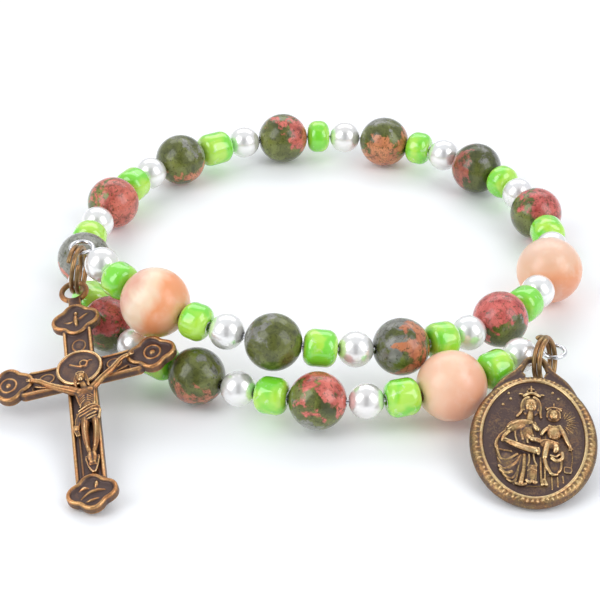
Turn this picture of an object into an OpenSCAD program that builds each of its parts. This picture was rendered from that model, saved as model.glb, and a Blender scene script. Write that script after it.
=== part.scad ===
// Rosary bracelet: beads on a coil of spring wire, with a crucifix and an oval
// medal hung from the wire's end loops by split rings.
// Millimetres. The coil lies on the floor, +Z is up, and the crucifix and the
// medal lie towards -Y.

/* [Beads] */
// Diameter of the round unakite beads
stone_d = 8; // [7:0.1:9]
// Diameter of the peach coral beads
coral_d = 9.8; // [8.6:0.1:11]
// Diameter of the pearls
pearl_d = 5; // [4:0.1:6]
// Diameter of the green glass beads
glass_d = 5.2; // [4.2:0.1:6]
// Usual length of a green glass bead along the wire
glass_l = 4.4; // [3.8:0.05:5.2]
// Rounding of a glass bead's ends
glass_round = 1.5; // [0.8:0.1:1.7]
// Bore through unakite, pearl and glass beads
bead_bore = 1.2; // [1.1:0.05:1.6]
// Bore through the coral beads
coral_bore = 1.7; // [1.3:0.05:2.2]
// Free space between neighbouring beads
bead_gap = 0.14; // [0.1:0.01:0.2]

/* [Coil] */
// Radius of the coil, to the middle of the wire
coil_r = 36.5; // [35:0.25:40]
// Direction of the string's first bead from the coil's middle, in degrees
first_bead_dir = 206.5; // [180:0.5:230]

/* [Wire] */
// Thickness of the spring wire
wire_d = 0.65; // [0.5:0.05:0.8]
// Radius of the end loops, to the middle of the wire
loop_r = 1.6; // [1.55:0.05:1.9]
// Arc that an end loop is closed to, in degrees
loop_arc = 322; // [300:1:326]
// Bare wire between the first bead and its loop
first_tail = 2; // [1.5:0.1:4]
// Bare wire between the last bead and its loop
last_tail = 2.8; // [1.5:0.1:4]
// Sideways bend of the first tail, in degrees
first_bend = -25; // [-35:1:10]
// Sideways bend of the last tail, in degrees
last_bend = -38; // [-38:1:10]

/* [Split rings] */
// Thickness of a split ring's wire
ring_wire = 0.7; // [0.5:0.05:0.75]
// Radius of a split ring, to the middle of its wire
ring_r = 3.25; // [3:0.05:3.6]
// Free space between a split ring's two turns
ring_gap = 0.06; // [0.04:0.01:0.12]
// Free space around a split ring in the eye that it passes through
eye_play = 0.64; // [0.6:0.02:0.8]
// How far the crucifix's ring is pulled from the middle of loop and eye
cross_pull = 0.06; // [0:0.02:0.1]
// How far the medal's ring is pulled from the middle of loop and eye
medal_pull = 0.24; // [0:0.02:0.26]

/* [Crucifix] */
// Thickness of the crucifix to its raised rims
cross_t = 1.6; // [1.2:0.1:2.2]
// Width of the beams
beam_w = 4.1; // [3.4:0.1:4.8]
// Middle of the cross to the middle of the top lobe
top_arm = 9.6; // [9.4:0.1:12]
// Middle of the cross to the middle of a side lobe
side_arm = 10; // [9.5:0.1:12]
// Middle of the cross to the middle of the foot lobe
foot_arm = 23; // [21:0.1:26]
// Radius of each of a lobe's four rounds
petal_r = 1.8; // [1.6:0.05:1.85]
// Middle of a lobe to the middle of its upper and lower rounds
petal_out = 1.32; // [1.1:0.02:1.5]
// Middle of a lobe to the middle of its side rounds
petal_side = 1.8; // [1.5:0.02:2]
// Width of the raised rims and rails
rim_w = 0.5; // [0.35:0.05:0.7]
// Depth of the fields inside the rims
rim_h = 0.35; // [0.2:0.05:0.6]
// Radius of the halo plate behind the head
halo_r = 3.3; // [2.8:0.1:3.8]
// Height of the halo plate above the beams
halo_up = 0.5; // [0.3:0.05:0.8]
// Top of the top lobe to the middle of the bail's hole
cross_eye_rise = 3.5; // [2.9:0.05:3.7]
// Width of the metal around that hole
cross_bail_w = 0.8; // [0.7:0.05:1.2]
// Thickness of the crucifix's bail
cross_bail_t = 0.9; // [0.7:0.05:1]
// Turn of the crucifix on the floor, in degrees
cross_turn = 9.2; // [0:0.2:10]
// Roll of the crucifix, its right arm up, in degrees
cross_roll = -13.5; // [-14:0.5:-6]

/* [Medal] */
// Width of the medal's oval
medal_w = 17.1; // [15:0.1:18]
// Height of the medal's oval
medal_h = 21.9; // [19.5:0.1:23]
// Thickness of the medal
medal_t = 1.8; // [1.4:0.1:2.4]
// Width of the border beside the picture
border_w = 1.6; // [1.3:0.1:2]
// Height of the border above and below the picture
border_h = 1.15; // [0.9:0.05:1.5]
// Depth of the picture's field
field_h = 0.4; // [0.25:0.05:0.6]
// Top of the oval to the tip of the bail
bail_up = 3.9; // [3.3:0.1:4.4]
// Thickness of the medal's bail
medal_bail_t = 1; // [0.8:0.05:1.2]
// Turn of the medal from the wire's last tail, in degrees
medal_turn = -14.7; // [-20:0.1:-8]

/* [Hidden] */
$fn = 48;
eps = 0.02;

// The route of the string: a point every route_step degrees of turn, as the
// radius in shares of coil_r and the height in shares of stone_d.
route_step = 40;
route = [
    [1.00, 1.60], [0.95, 1.35], [0.91, 1.07], [0.915, 0.82], [0.965, 0.575],
    [1.025, 0.52], [1.025, 0.51], [1.005, 0.50], [0.965, 0.54], [1.005, 0.53],
    [1.035, 0.53], [1.11, 0.66], [1.095, 0.82]
];

// Order of the string from the crucifix's end: P pearl, G glass, C coral, S stone
order = str("PGCGP", "SGPSGPSGP", "C", "PGSPGSPGSPGSPGSPGSPGSPGSPGSPGS", "PGCGP");

// Length of each glass bead along the string, as a share of glass_l
glass_share = [0.9, 0.9, 1.05, 1, 1, 0.97, 0.8, 0.85, 0.8, 1.18, 1.03, 0.9, 1.15, 1.13, 1.02, 1.05, 1.02];

// Direction from an end loop to the eye of the piece that hangs from it. The
// medal's two directions are along the wire's last tail, to its left and up.
cross_drop = [-0.13, -0.72, -0.72];
medal_drop = [-0.615, -0.78, 0.13];
// Direction that each split ring's axis leans to
cross_ring_axis = [1, -0.1, 0.05];
medal_ring_axis = [0.818, -0.52, 0.23];

// Vector helpers
function unit(v) = v / norm(v);
function blend(a, b, c, d, t) =
    0.5 * (2 * b + (c - a) * t + (2 * a - 5 * b + 4 * c - d) * t * t + (3 * b - a - 3 * c + d) * t * t * t);
function turned(v, a) = [v.x * cos(a) - v.y * sin(a), v.x * sin(a) + v.y * cos(a), v.z];
function across(v, n) = unit(v - n * (v * n));

// Route of the wire's middle
last_knot = len(route) - 1;
function knot(k) = k < 0 ? 2 * route[0] - route[1]
    : k > last_knot ? 2 * route[last_knot] - route[last_knot - 1]
    : route[k];
route_turn = route_step * last_knot;
function route_rh(a) =
    a > route_turn ? knot(last_knot) + (knot(last_knot + 1) - knot(last_knot)) * (a - route_turn) / route_step
    : let (k = min(floor(a / route_step), last_knot - 1), t = a / route_step - k)
    blend(knot(k - 1), knot(k), knot(k + 1), knot(k + 2), t);
function route_at(a) =
    let (q = route_rh(a), d = first_bead_dir + a)
    [q[0] * coil_r * cos(d), q[0] * coil_r * sin(d), q[1] * stone_d];
fine = 2;
fine_pts = [for (a = [0 : fine : 1.5 * route_turn]) route_at(a)];
fine_len = [for (i = 0, s = 0; i < len(fine_pts); s = s + (i + 1 < len(fine_pts) ? norm(fine_pts[i + 1] - fine_pts[i]) : 0), i = i + 1) s];
turn_table = [for (i = [0 : len(fine_pts) - 1]) [fine_len[i], i * fine]];
function along(s) = route_at(lookup(s, turn_table));

// Beads along the route
bead_count = len(order);
glass_before = [for (i = 0, n = 0; i < bead_count; n = n + (order[i] == "G" ? 1 : 0), i = i + 1) n];
function bead_l(i) = order[i] == "S" ? stone_d
    : order[i] == "C" ? coral_d
    : order[i] == "P" ? pearl_d
    : glass_l * glass_share[glass_before[i]];
function bead_d(i) = order[i] == "G" ? glass_d : bead_l(i);
bead_start = [for (i = 0, s = 0; i <= bead_count; s = s + (i < bead_count ? bead_l(i) + bead_gap : 0), i = i + 1) s];
function bead_mid(i) = bead_start[i] + (bead_l(i) + bead_gap) / 2;
function bead_dir(i) = unit(along(bead_mid(i) + bead_l(i) / 2) - along(bead_mid(i) - bead_l(i) / 2));
function bead_pos(i) =
    (2 * along(bead_mid(i)) + along(bead_mid(i) + bead_l(i) / 2) + along(bead_mid(i) - bead_l(i) / 2)) / 4;
string_l = bead_start[bead_count];

// Height that puts the lowest bead on the floor
floor_z = min([for (i = [0 : bead_count - 1]) bead_pos(i).z - bead_d(i) / 2]);

// End loops
out_first = unit(along(0) - along(1));
out_last = unit(along(string_l) - along(string_l - 1));
dir_first = turned(unit([out_first.x, out_first.y, 0]), first_bend);
dir_last = turned(unit([out_last.x, out_last.y, 0]), last_bend);
side_first = turned(dir_first, 90);
side_last = turned(dir_last, -90);
tail_turn = atan2(dir_last.y, dir_last.x);
medal_heading = tail_turn + medal_turn;
bend_first = along(0) + [dir_first.x, dir_first.y, out_first.z] * first_tail;
bend_last = along(string_l) + [dir_last.x, dir_last.y, out_last.z] * last_tail;
loop_first = bend_first + side_first * loop_r;
loop_last = bend_last + side_last * loop_r;

// Eyes of the two pendants, a split ring away from the end loops
eye_r = ring_wire + ring_gap / 2 + eye_play;
cross_eye = loop_first + unit(cross_drop) * 2 * (ring_r + cross_pull);
medal_eye = loop_last + unit(turned(medal_drop, tail_turn)) * 2 * (ring_r + medal_pull);

// Crucifix: sizes that follow from the driving ones
lobe_r = petal_r + petal_out;
lobe_side = petal_r + petal_side;
rounds = [[petal_side, 0], [-petal_side, 0], [0, petal_out], [0, -petal_out]];
cross_bail_y = top_arm + lobe_r + cross_eye_rise;
cross_foot_reach = foot_arm + cross_bail_y;
arm_y = -0.9;
side_lobe_y = -0.3;
cross_eye_up = cross_bail_t / 2;
cross_eye_z = cross_eye.z - floor_z;
function lobe_dip(t, roll) = max([for (p = rounds) p.x * cos(t) * sin(roll) - p.y * sin(t)])
    + petal_r * sqrt(pow(cos(t) * sin(roll), 2) + pow(sin(t), 2));
function cross_tilt_from(t, n) = n == 0 ? t
    : cross_tilt_from(asin((cross_eye_z - cos(t) * cos(cross_roll) * cross_eye_up - lobe_dip(t, cross_roll))
        / cross_foot_reach), n - 1);
cross_tilt = cross_tilt_from(10, 12);

// Medal: sizes that follow from the driving ones
medal_eye_y = medal_h / 2 + eye_r + 0.05;
medal_eye_up = medal_t / 2;
medal_eye_z = medal_eye.z - floor_z;
function medal_tilt_from(t, n) = n == 0 ? t
    : medal_tilt_from(asin((medal_eye_z - cos(t) * medal_eye_up) / (medal_eye_y + medal_h / 2)), n - 1);
medal_tilt = medal_tilt_from(16, 12);

// Places a pendant so that the eye at [0, eye_y, eye_up] lies at the point eye
module hung(eye, turn, tilt, roll, eye_y, eye_up) {
    translate(eye)
        rotate([0, 0, turn]) rotate([tilt, 0, 0]) rotate([0, roll, 0])
            translate([0, -eye_y, -eye_up]) children();
}

// Outline of the whole part, to stand it over the frame's origin
function cross_point(p) =
    let (q = p - [0, cross_bail_y, cross_eye_up],
        a = [q.x * cos(cross_roll) + q.z * sin(cross_roll), q.y, q.z * cos(cross_roll) - q.x * sin(cross_roll)],
        b = [a.x, a.y * cos(cross_tilt) - a.z * sin(cross_tilt), a.y * sin(cross_tilt) + a.z * cos(cross_tilt)])
    cross_eye + turned(b, cross_turn);
function lobe_edge(x, y) = [for (p = rounds, a = [0 : 5 : 355], h = [0, cross_t])
    cross_point([x + p.x + petal_r * cos(a), y + p.y + petal_r * sin(a), h])];
left_x = min([for (q = lobe_edge(-side_arm, side_lobe_y)) q.x]);
front_y = min([for (q = lobe_edge(0, -foot_arm)) q.y]);
right_x = max([for (i = [0 : bead_count - 1]) bead_pos(i).x + bead_d(i) / 2]);
back_y = max([for (i = [0 : bead_count - 1]) bead_pos(i).y + bead_d(i) / 2]);
stand = [-(left_x + right_x) / 2, -(front_y + back_y) / 2, -floor_z];

// Faces of a tube of n rings, closed at both ends
function tube_faces(n, sides) = concat(
    [for (i = [0 : n - 2], k = [0 : sides - 1], h = [0, 1])
        let (p = i * sides + k, q = i * sides + (k + 1) % sides)
        h == 0 ? [p, q, q + sides] : [p, q + sides, p + sides]],
    [[for (k = [sides - 1 : -1 : 0]) k], [for (k = [0 : sides - 1]) (n - 1) * sides + k]]);

// Tube of a given thickness along a list of points
module tube(pts, d, up, sides) {
    n = len(pts);
    tangents = [for (i = [0 : n - 1]) unit(pts[min(i + 1, n - 1)] - pts[max(i - 1, 0)])];
    rings = [for (i = [0 : n - 1])
        let (t = tangents[i], a = unit(cross(t, up)), b = cross(a, t))
        for (k = [0 : sides - 1]) pts[i] + (a * cos(360 * k / sides) + b * sin(360 * k / sides)) * d / 2];
    polyhedron(rings, tube_faces(n, sides), convexity = 10);
}

// Ball, rod and lens shapes of the cast relief
module ball(p, r) {
    translate(p) sphere(r, $fn = 24);
}
module egg(p, s, a = 0) {
    translate(p) rotate([0, 0, a]) scale(s) sphere(1, $fn = 12);
}
module rod(p, q, r1, r2) {
    t = unit(q - p);
    a = unit(cross(t, [0, 0, 1]));
    b = cross(a, t);
    mids = [p - t * r1 * 0.7, p, q, q + t * r2 * 0.7];
    radii = [r1 * 0.6, r1, r2, r2 * 0.6];
    sides = 8;
    pts = [for (i = [0 : 3], k = [0 : sides - 1])
        mids[i] + (a * cos(360 * k / sides) + b * sin(360 * k / sides)) * radii[i]];
    polyhedron(pts, tube_faces(4, sides), convexity = 2);
}

// Beads
module on_wire(i) {
    v = bead_dir(i);
    translate(stand + bead_pos(i))
        rotate([0, acos(v.z), atan2(v.y, v.x)]) children();
}
module round_bead(i, bore) {
    on_wire(i) difference() {
        sphere(d = bead_d(i));
        cylinder(h = bead_d(i) + 1, d = bore, center = true, $fn = 24);
    }
}
module stone(i) {
    color("darkolivegreen") round_bead(i, bead_bore);
}
module coral(i) {
    color("lightsalmon") round_bead(i, coral_bore);
}
module pearl(i) {
    color("whitesmoke") round_bead(i, bead_bore);
}
module glass_bead(i) {
    l = bead_l(i);
    r = min(glass_round, l / 2 - 0.3);
    on_wire(i) difference() {
        rotate_extrude() intersection() {
            union() {
                translate([0, -l / 2]) square([glass_d / 2 - r, l]);
                translate([0, r - l / 2]) square([glass_d / 2, l - 2 * r]);
                for (s = [-1, 1]) translate([glass_d / 2 - r, s * (l / 2 - r)]) circle(r);
            }
            translate([0, -l]) square([glass_d, 2 * l]);
        }
        cylinder(h = l + 1, d = bead_bore, center = true, $fn = 24);
    }
}
module glass_beads() {
    color("limegreen") for (i = [0 : bead_count - 1]) if (order[i] == "G") glass_bead(i);
}

// Spring wire with an open loop turned at each end
function loop_pts(mid, out, side, arcs) =
    [for (a = arcs) mid + loop_r * (out * sin(a) - side * cos(a))];
module wire() {
    arc_step = loop_arc / 18;
    wire_pts = concat(
        loop_pts(loop_first, dir_first, side_first, [loop_arc : -arc_step : 0]),
        [along(0) + dir_first * 0.1],
        [for (s = [0.6 : (string_l - 1.2) / 118 : string_l - 0.6]) along(s)],
        [along(string_l) + dir_last * 0.1],
        loop_pts(loop_last, dir_last, side_last, [0 : arc_step : loop_arc + 0.01])
    );
    color("silver") translate(stand) tube(wire_pts, wire_d, [0, 0, 1], 8);
}

// Split ring of two turns through an end loop and an eye
module split_ring(loop_mid, eye, axis) {
    mid = (loop_mid + eye) / 2;
    u = unit(loop_mid - eye);
    n = across(axis, u);
    w = cross(n, u);
    pitch = ring_wire + ring_gap;
    pts = [for (a = [0 : 12 : 720])
        mid + ring_r * (w * cos(a) + u * sin(a)) + n * pitch * (a / 360 - 1)];
    translate(stand) tube(pts, ring_wire, n, 8);
}
module crucifix_ring() {
    color("peru") split_ring(loop_first, cross_eye, cross_ring_axis);
}
module medal_ring() {
    color("peru") split_ring(loop_last, medal_eye, turned(medal_ring_axis, tail_turn));
}

// Crucifix
module four_rounds(r) {
    for (p = rounds) translate(p) circle(r);
    square([2 * petal_side, 2 * petal_out], center = true);
}
module lobe(x, y) {
    translate([x, y, 0]) difference() {
        linear_extrude(cross_t) four_rounds(petal_r);
        translate([0, 0, cross_t - rim_h]) linear_extrude(1) four_rounds(petal_r - rim_w);
    }
}
beam_t = cross_t - 0.15;
side_cut = side_arm - lobe_side + 0.3;
module beams() {
    difference() {
        union() {
            translate([-beam_w / 2, -foot_arm, 0]) cube([beam_w, foot_arm + top_arm, beam_t]);
            translate([-side_arm, arm_y - beam_w / 2, 0]) cube([2 * side_arm, beam_w, beam_t]);
        }
        translate([rim_w - beam_w / 2, -foot_arm, beam_t - rim_h]) cube([beam_w - 2 * rim_w, foot_arm + top_arm, 1]);
        for (s = [-1, 1]) translate([s * (beam_w / 2 + side_arm) / 2, arm_y, beam_t - rim_h + 0.5])
            cube([side_arm - beam_w / 2 + 0.01, beam_w - 2 * rim_w, 1], center = true);
        // Openings under the figure's arms
        for (s = [-1, 1]) translate([0, 0, -1]) linear_extrude(cross_t + 2)
            polygon([[s * side_cut, arm_y - 0.55], [s * side_cut, arm_y - beam_w / 2 + rim_w],
                [s * (side_cut - 2.5), arm_y - beam_w / 2 + rim_w]]);
    }
}
module beam_ring(x, y) {
    translate([x, y, beam_t - rim_h - eps]) difference() {
        cylinder(h = rim_h, d = 2.1);
        translate([0, 0, -1]) cylinder(h = 3, d = 1.3);
    }
}
module halo() {
    translate([0, -0.6, 0]) difference() {
        cylinder(h = cross_t + halo_up, r = halo_r);
        translate([0, 0, cross_t + halo_up - rim_h]) cylinder(h = 1, r = halo_r - rim_w);
    }
}
module cross_bail() {
    translate([0, cross_bail_y, 0]) difference() {
        union() {
            cylinder(h = cross_bail_t, r = eye_r + cross_bail_w);
            translate([-1, -cross_eye_rise - 0.5, 0]) cube([2, cross_eye_rise - eye_r, cross_bail_t]);
        }
        translate([0, 0, -1]) cylinder(h = cross_bail_t + 2, r = eye_r);
    }
}
module lobe_marks() {
    top = cross_t - rim_h;
    // Bird with spread wings
    egg([0, top_arm, top], [0.38, 0.95, 0.35]);
    for (s = [-1, 1]) egg([s * 0.95, top_arm + 0.25, top], [0.85, 0.3, 0.28], s * 25);
    ball([0, top_arm + 1.05, top + 0.05], 0.3);
    // Ring and pellet on each side lobe
    for (s = [-1, 1]) translate([s * side_arm, side_lobe_y, top - eps]) {
        difference() {
            cylinder(h = 0.3, r = 1.25);
            translate([0, 0, -1]) cylinder(h = 3, r = 0.85);
        }
        ball([0, 0, 0], 0.35);
    }
    // Leaf on the foot lobe
    egg([-0.2, -foot_arm - 0.2, top], [1.45, 0.32, 0.3], 22);
    egg([-0.9, 0.65 - foot_arm, top], [0.6, 0.28, 0.26], -30);
    egg([0.5, 0.9 - foot_arm, top], [0.28, 0.6, 0.26], 10);
    // Ribbon above the head
    egg([-0.6, 1.0, cross_t + halo_up - rim_h], [0.95, 0.28, 0.3], -18);
    egg([0.75, 1.1, cross_t + halo_up - rim_h], [0.7, 0.25, 0.3], 30);
}
module figure_on_cross() {
    h = cross_t;
    // Arms, from the shoulders over the elbows to the hands
    for (s = [-1, 1]) {
        rod([0.5 + s * 1.5, -5.3, h + 0.25], [s * 4.5, -3.0, h + 0.15], 0.62, 0.5);
        rod([s * 4.5, -3.0, h + 0.15], [s * 7.0, -0.75, h + 0.05], 0.5, 0.38);
        egg([s * 7.25, -0.45, h + 0.05], [0.55, 0.4, 0.35], s * 40);
    }
    // Head with hair
    egg([0.15, -3.35, h + 0.75], [0.78, 1.05, 0.8], 10);
    egg([0.1, -3.05, h + 0.5], [0.98, 0.95, 0.75]);
    rod([0.25, -4.2, h + 0.4], [0.45, -5.0, h + 0.3], 0.45, 0.5);
    // Chest and belly
    egg([0.55, -5.9, h + 0.2], [1.75, 1.35, 0.85]);
    egg([0.75, -7.6, h + 0.1], [1.25, 1.7, 0.8]);
    // Loincloth and its knot
    egg([0.75, -10.0, h + 0.15], [1.65, 1.35, 0.85], -12);
    rod([-0.6, -9.8, h], [-1.3, -12.3, h - 0.1], 0.5, 0.38);
    // Legs and feet on the footrest
    rod([0.1, -10.6, h + 0.15], [-0.1, -13.0, h + 0.35], 0.75, 0.62);
    rod([-0.1, -13.0, h + 0.35], [0.15, -17.0, h + 0.05], 0.6, 0.4);
    rod([1.35, -10.6, h + 0.15], [1.3, -12.8, h + 0.35], 0.75, 0.62);
    rod([1.3, -12.8, h + 0.35], [0.6, -17.0, h + 0.05], 0.6, 0.4);
    egg([0.35, -18.3, h + 0.05], [0.65, 1.35, 0.55]);
    translate([-0.65, -20.6, beam_t - rim_h - eps]) cube([1.9, 1.7, 0.8]);
}
module crucifix() {
    color("sienna") translate(stand)
        hung(cross_eye, cross_turn, cross_tilt, cross_roll, cross_bail_y, cross_eye_up) {
            beams();
            lobe(0, top_arm);
            lobe(0, -foot_arm);
            lobe(-side_arm, side_lobe_y);
            lobe(side_arm, side_lobe_y);
            halo();
            beam_ring(0, (top_arm - lobe_r + halo_r) / 2 - 0.3);
            for (s = [-1, 1]) beam_ring(s * 5.0, arm_y + 0.35);
            cross_bail();
            lobe_marks();
            figure_on_cross();
        }
}

// Medal
module oval(w, h) {
    polygon([for (a = [0 : 5 : 355]) [w / 2 * cos(a), h / 2 * sin(a)]]);
}
pic_w = medal_w - 2 * border_w;
pic_h = medal_h - 2 * border_h;
field_z = medal_t - field_h;
module medal_bail() {
    tip = medal_h / 2 + bail_up;
    translate([0, 0, (medal_t - medal_bail_t) / 2]) linear_extrude(medal_bail_t) difference() {
        union() {
            translate([0, tip - 1.75]) circle(1.75);
            polygon([[-1.5, tip - 0.9], [1.5, tip - 0.9], [2.3, tip - 2.6], [3.3, tip - 3.7], [4.4, tip - 4.6],
                [4.4, medal_h / 2 - 2.2], [-4.4, medal_h / 2 - 2.2], [-4.4, tip - 4.6], [-3.3, tip - 3.7],
                [-2.3, tip - 2.6]]);
        }
        translate([0, medal_eye_y]) circle(eye_r);
    }
}
module border_marks() {
    marks = 28;
    for (k = [0 : marks - 1]) let (a = 360 * (k + 0.5) / marks)
        translate([(medal_w + pic_w) / 4 * sin(a), (medal_h + pic_h) / 4 * cos(a), medal_t - 0.1])
            cylinder(h = 0.28, d = 0.5, $fn = 16);
}
module medal_figures() {
    z = field_z;
    // Robe and cloak
    translate([0, 0, z - eps]) linear_extrude(0.3) polygon([[-1.9, 2.6], [-3.6, 1.2], [-5.1, -1], [-5.4, -2.6],
        [-4.6, -5.2], [-3.6, -6.9], [-2.1, -8.1], [1.6, -8.0], [3.9, -6.6], [3.9, -3.4], [3.6, -0.5], [3.4, 1.9],
        [1.5, 1.9], [0.9, 2.6]]);
    egg([-1.3, 0.6, z], [2.2, 2.3, 0.75]);
    rod([-2.2, 1.9, z + 0.15], [-4.4, -0.9, z + 0.15], 0.7, 0.6);
    rod([-4.3, -1.1, z + 0.25], [0.4, -2.7, z + 0.3], 0.55, 0.5);
    for (k = [0 : 3]) rod([-3.9 + 0.9 * k, -3.0 - 0.2 * k, z + 0.1], [-3.6 + 0.9 * k, -6.4 - 0.4 * k, z + 0.1], 0.4, 0.32);
    rod([0.2, -3.2, z + 0.1], [0.4, -7.6, z + 0.1], 0.5, 0.4);
    // Head, hair and crown of the standing figure
    egg([-0.65, 5.0, z + 0.4], [0.95, 1.3, 0.65]);
    egg([-0.65, 5.25, z + 0.15], [1.45, 1.75, 0.6]);
    rod([-0.75, 3.8, z + 0.1], [-0.9, 2.4, z + 0.1], 0.6, 0.75);
    rod([-1.7, 6.75, z + 0.2], [0.5, 6.75, z + 0.2], 0.3, 0.3);
    for (k = [-1 : 1]) rod([-0.6 + k, 6.9, z + 0.15], [-0.6 + 1.2 * k, 8.1 - 0.5 * abs(k), z + 0.15], 0.26, 0.2);
    // Child
    egg([2.6, 3.3, z + 0.4], [0.75, 0.95, 0.6]);
    egg([2.6, 3.5, z + 0.15], [1.0, 1.15, 0.5]);
    rod([1.8, 4.45, z + 0.15], [3.4, 4.45, z + 0.15], 0.24, 0.24);
    rod([2.6, 4.5, z + 0.15], [2.6, 5.3, z + 0.15], 0.24, 0.18);
    egg([2.5, 0.9, z + 0.15], [1.15, 1.6, 0.75]);
    rod([3.3, 1.2, z + 0.2], [4.7, -1.4, z + 0.1], 0.42, 0.34);
    rod([1.9, -0.9, z + 0.2], [1.5, -3.6, z + 0.2], 0.65, 0.5);
    rod([1.5, -3.6, z + 0.2], [2.6, -5.8, z + 0.15], 0.45, 0.32);
    rod([2.9, -0.9, z + 0.2], [3.4, -3.8, z + 0.2], 0.6, 0.45);
    // Hand that holds the child, and two hanging tabs
    rod([-0.4, 0.3, z + 0.6], [0.5, -0.7, z + 0.65], 0.35, 0.42);
    translate([-0.9, -7.4, z - eps]) cube([1.3, 2.1, 0.75]);
    translate([4.0, -5.7, z - eps]) cube([1.1, 1.3, 0.4]);
    rod([4.7, -1.6, z], [4.55, -4.5, z], 0.16, 0.16);
    // Stars
    for (p = [[-3.55, 6.9], [-3.3, 6.1], [2.3, 7.3]]) ball([p.x, p.y, z], 0.25);
}
module medal() {
    color("peru") translate(stand)
        hung(medal_eye, medal_heading, medal_tilt, 0, medal_eye_y, medal_eye_up) {
            difference() {
                linear_extrude(medal_t) oval(medal_w, medal_h);
                translate([0, 0, field_z]) linear_extrude(1) oval(pic_w, pic_h);
            }
            translate([0, 0, medal_t - 0.1]) linear_extrude(0.25) difference() {
                oval(pic_w + 0.7, pic_h + 0.7);
                oval(pic_w, pic_h);
            }
            medal_bail();
            border_marks();
            medal_figures();
        }
}

stone(5);  // stone_1
stone(8);  // stone_2
stone(11);  // stone_3
stone(17);  // stone_4
stone(20);  // stone_5
stone(23);  // stone_6
stone(26);  // stone_7
stone(29);  // stone_8
stone(32);  // stone_9
stone(35);  // stone_10
stone(38);  // stone_11
stone(41);  // stone_12
stone(44);  // stone_13
coral(2);  // coral_1
coral(14);  // coral_2
coral(47);  // coral_3
pearl(0);  // pearl_1
pearl(4);  // pearl_2
pearl(7);  // pearl_3
pearl(10);  // pearl_4
pearl(13);  // pearl_5
pearl(15);  // pearl_6
pearl(18);  // pearl_7
pearl(21);  // pearl_8
pearl(24);  // pearl_9
pearl(27);  // pearl_10
pearl(30);  // pearl_11
pearl(33);  // pearl_12
pearl(36);  // pearl_13
pearl(39);  // pearl_14
pearl(42);  // pearl_15
pearl(45);  // pearl_16
pearl(49);  // pearl_17
glass_beads();
wire();
crucifix_ring();
medal_ring();
crucifix();
medal();
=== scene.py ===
import math

import bmesh
import bpy
import numpy as np
from bpy.props import FloatProperty, FloatVectorProperty, IntProperty, PointerProperty
from mathutils import Matrix, Vector


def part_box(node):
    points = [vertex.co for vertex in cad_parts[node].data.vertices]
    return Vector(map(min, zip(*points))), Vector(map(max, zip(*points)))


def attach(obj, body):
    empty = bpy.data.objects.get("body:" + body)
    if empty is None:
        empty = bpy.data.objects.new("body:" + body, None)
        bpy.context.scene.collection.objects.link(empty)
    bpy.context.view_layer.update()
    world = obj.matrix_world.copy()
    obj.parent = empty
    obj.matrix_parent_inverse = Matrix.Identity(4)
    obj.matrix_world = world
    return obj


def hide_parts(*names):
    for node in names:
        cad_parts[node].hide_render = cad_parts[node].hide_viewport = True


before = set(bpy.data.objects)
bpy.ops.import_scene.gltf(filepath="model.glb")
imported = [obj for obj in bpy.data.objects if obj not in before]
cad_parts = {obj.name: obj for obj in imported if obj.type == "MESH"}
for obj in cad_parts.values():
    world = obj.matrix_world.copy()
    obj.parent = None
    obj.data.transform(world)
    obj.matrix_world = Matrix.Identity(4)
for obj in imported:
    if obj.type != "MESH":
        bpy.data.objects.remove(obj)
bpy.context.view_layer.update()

bl_info = {
    "name": "Rosary Bracelet",
    "version": (1, 0, 0),
    "blender": (4, 5, 0),
    "location": "View3D > Sidebar > Bracelet",
    "description": "Beads, spring wire, crucifix and medal of a rosary bracelet",
    "category": "Add Mesh",
}

MM = 0.001
BODY = "root"

# Middle of a lobe of the cross to its side rounds, and to its upper and lower ones, in mm
LOBE_REACH = (1.8, 1.32)

# Radii of the round stone and coral beads, for the zones and bands across them
STONE_RADIUS = 4.0 * MM
CORAL_RADIUS = 4.9 * MM

# Wear of the rings' bare wire, and how much thicker a swept wire is made to look round
RING_WEAR = 0.62
ROUNDING = 0.025 * MM

# Order of the string from the crucifix's end: P pearl, G glass, C coral, S stone
STRING = "PGCGP" + "SGPSGPSGP" + "C" + "PGS" * 10 + "PGCGP"

# Colour of each stone: share of pink, the way its pink side faces in the picture (right, up), how
# orange that pink is, share of grey, the way its grey side faces, and how light it is
STONES = [
    (-0.7, (0.0, 1.0), 0.5, -0.22, (-0.9, 0.5), 0.95),
    (-0.15, (0.9, -0.2), 0.9, 0.08, (-0.4, 0.9), 0.95),
    (0.24, (-0.3, 0.3), 0.05, -0.12, (0.5, 0.6), 1.05),
    (0.28, (0.7, 0.2), 0.05, -0.4, (0.3, 0.9), 1.0),
    (-0.22, (-0.8, 0.1), 0.45, -0.25, (0.4, 0.6), 0.66),
    (0.08, (0.1, -1.0), 1.0, -0.25, (0.0, 1.0), 1.05),
    (-0.12, (0.7, 0.9), 0.2, -0.45, (0.0, 1.0), 1.05),
    (-0.3, (0.2, -0.4), 0.8, -0.25, (0.3, 0.5), 1.08),
    (0.36, (0.8, -0.2), 0.3, -0.6, (0.0, 1.0), 1.1),
    (-0.4, (-0.6, -0.4), 0.5, 0.28, (0.0, 0.9), 1.12),
    (0.32, (0.2, 0.7), 0.0, -0.4, (0.5, -0.5), 0.95),
    (-0.22, (-0.3, -0.9), 0.8, -0.4, (0.3, 0.8), 0.85),
    (0.2, (0.5, 0.8), 0.2, -0.35, (-0.5, -0.7), 1.1),
]

# Picture directions: right, and up across the line of sight
PICTURE_RIGHT = Vector((1.0, 0.0, 0.0))
PICTURE_UP = Vector((0.0, 0.54, 0.84))


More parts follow.
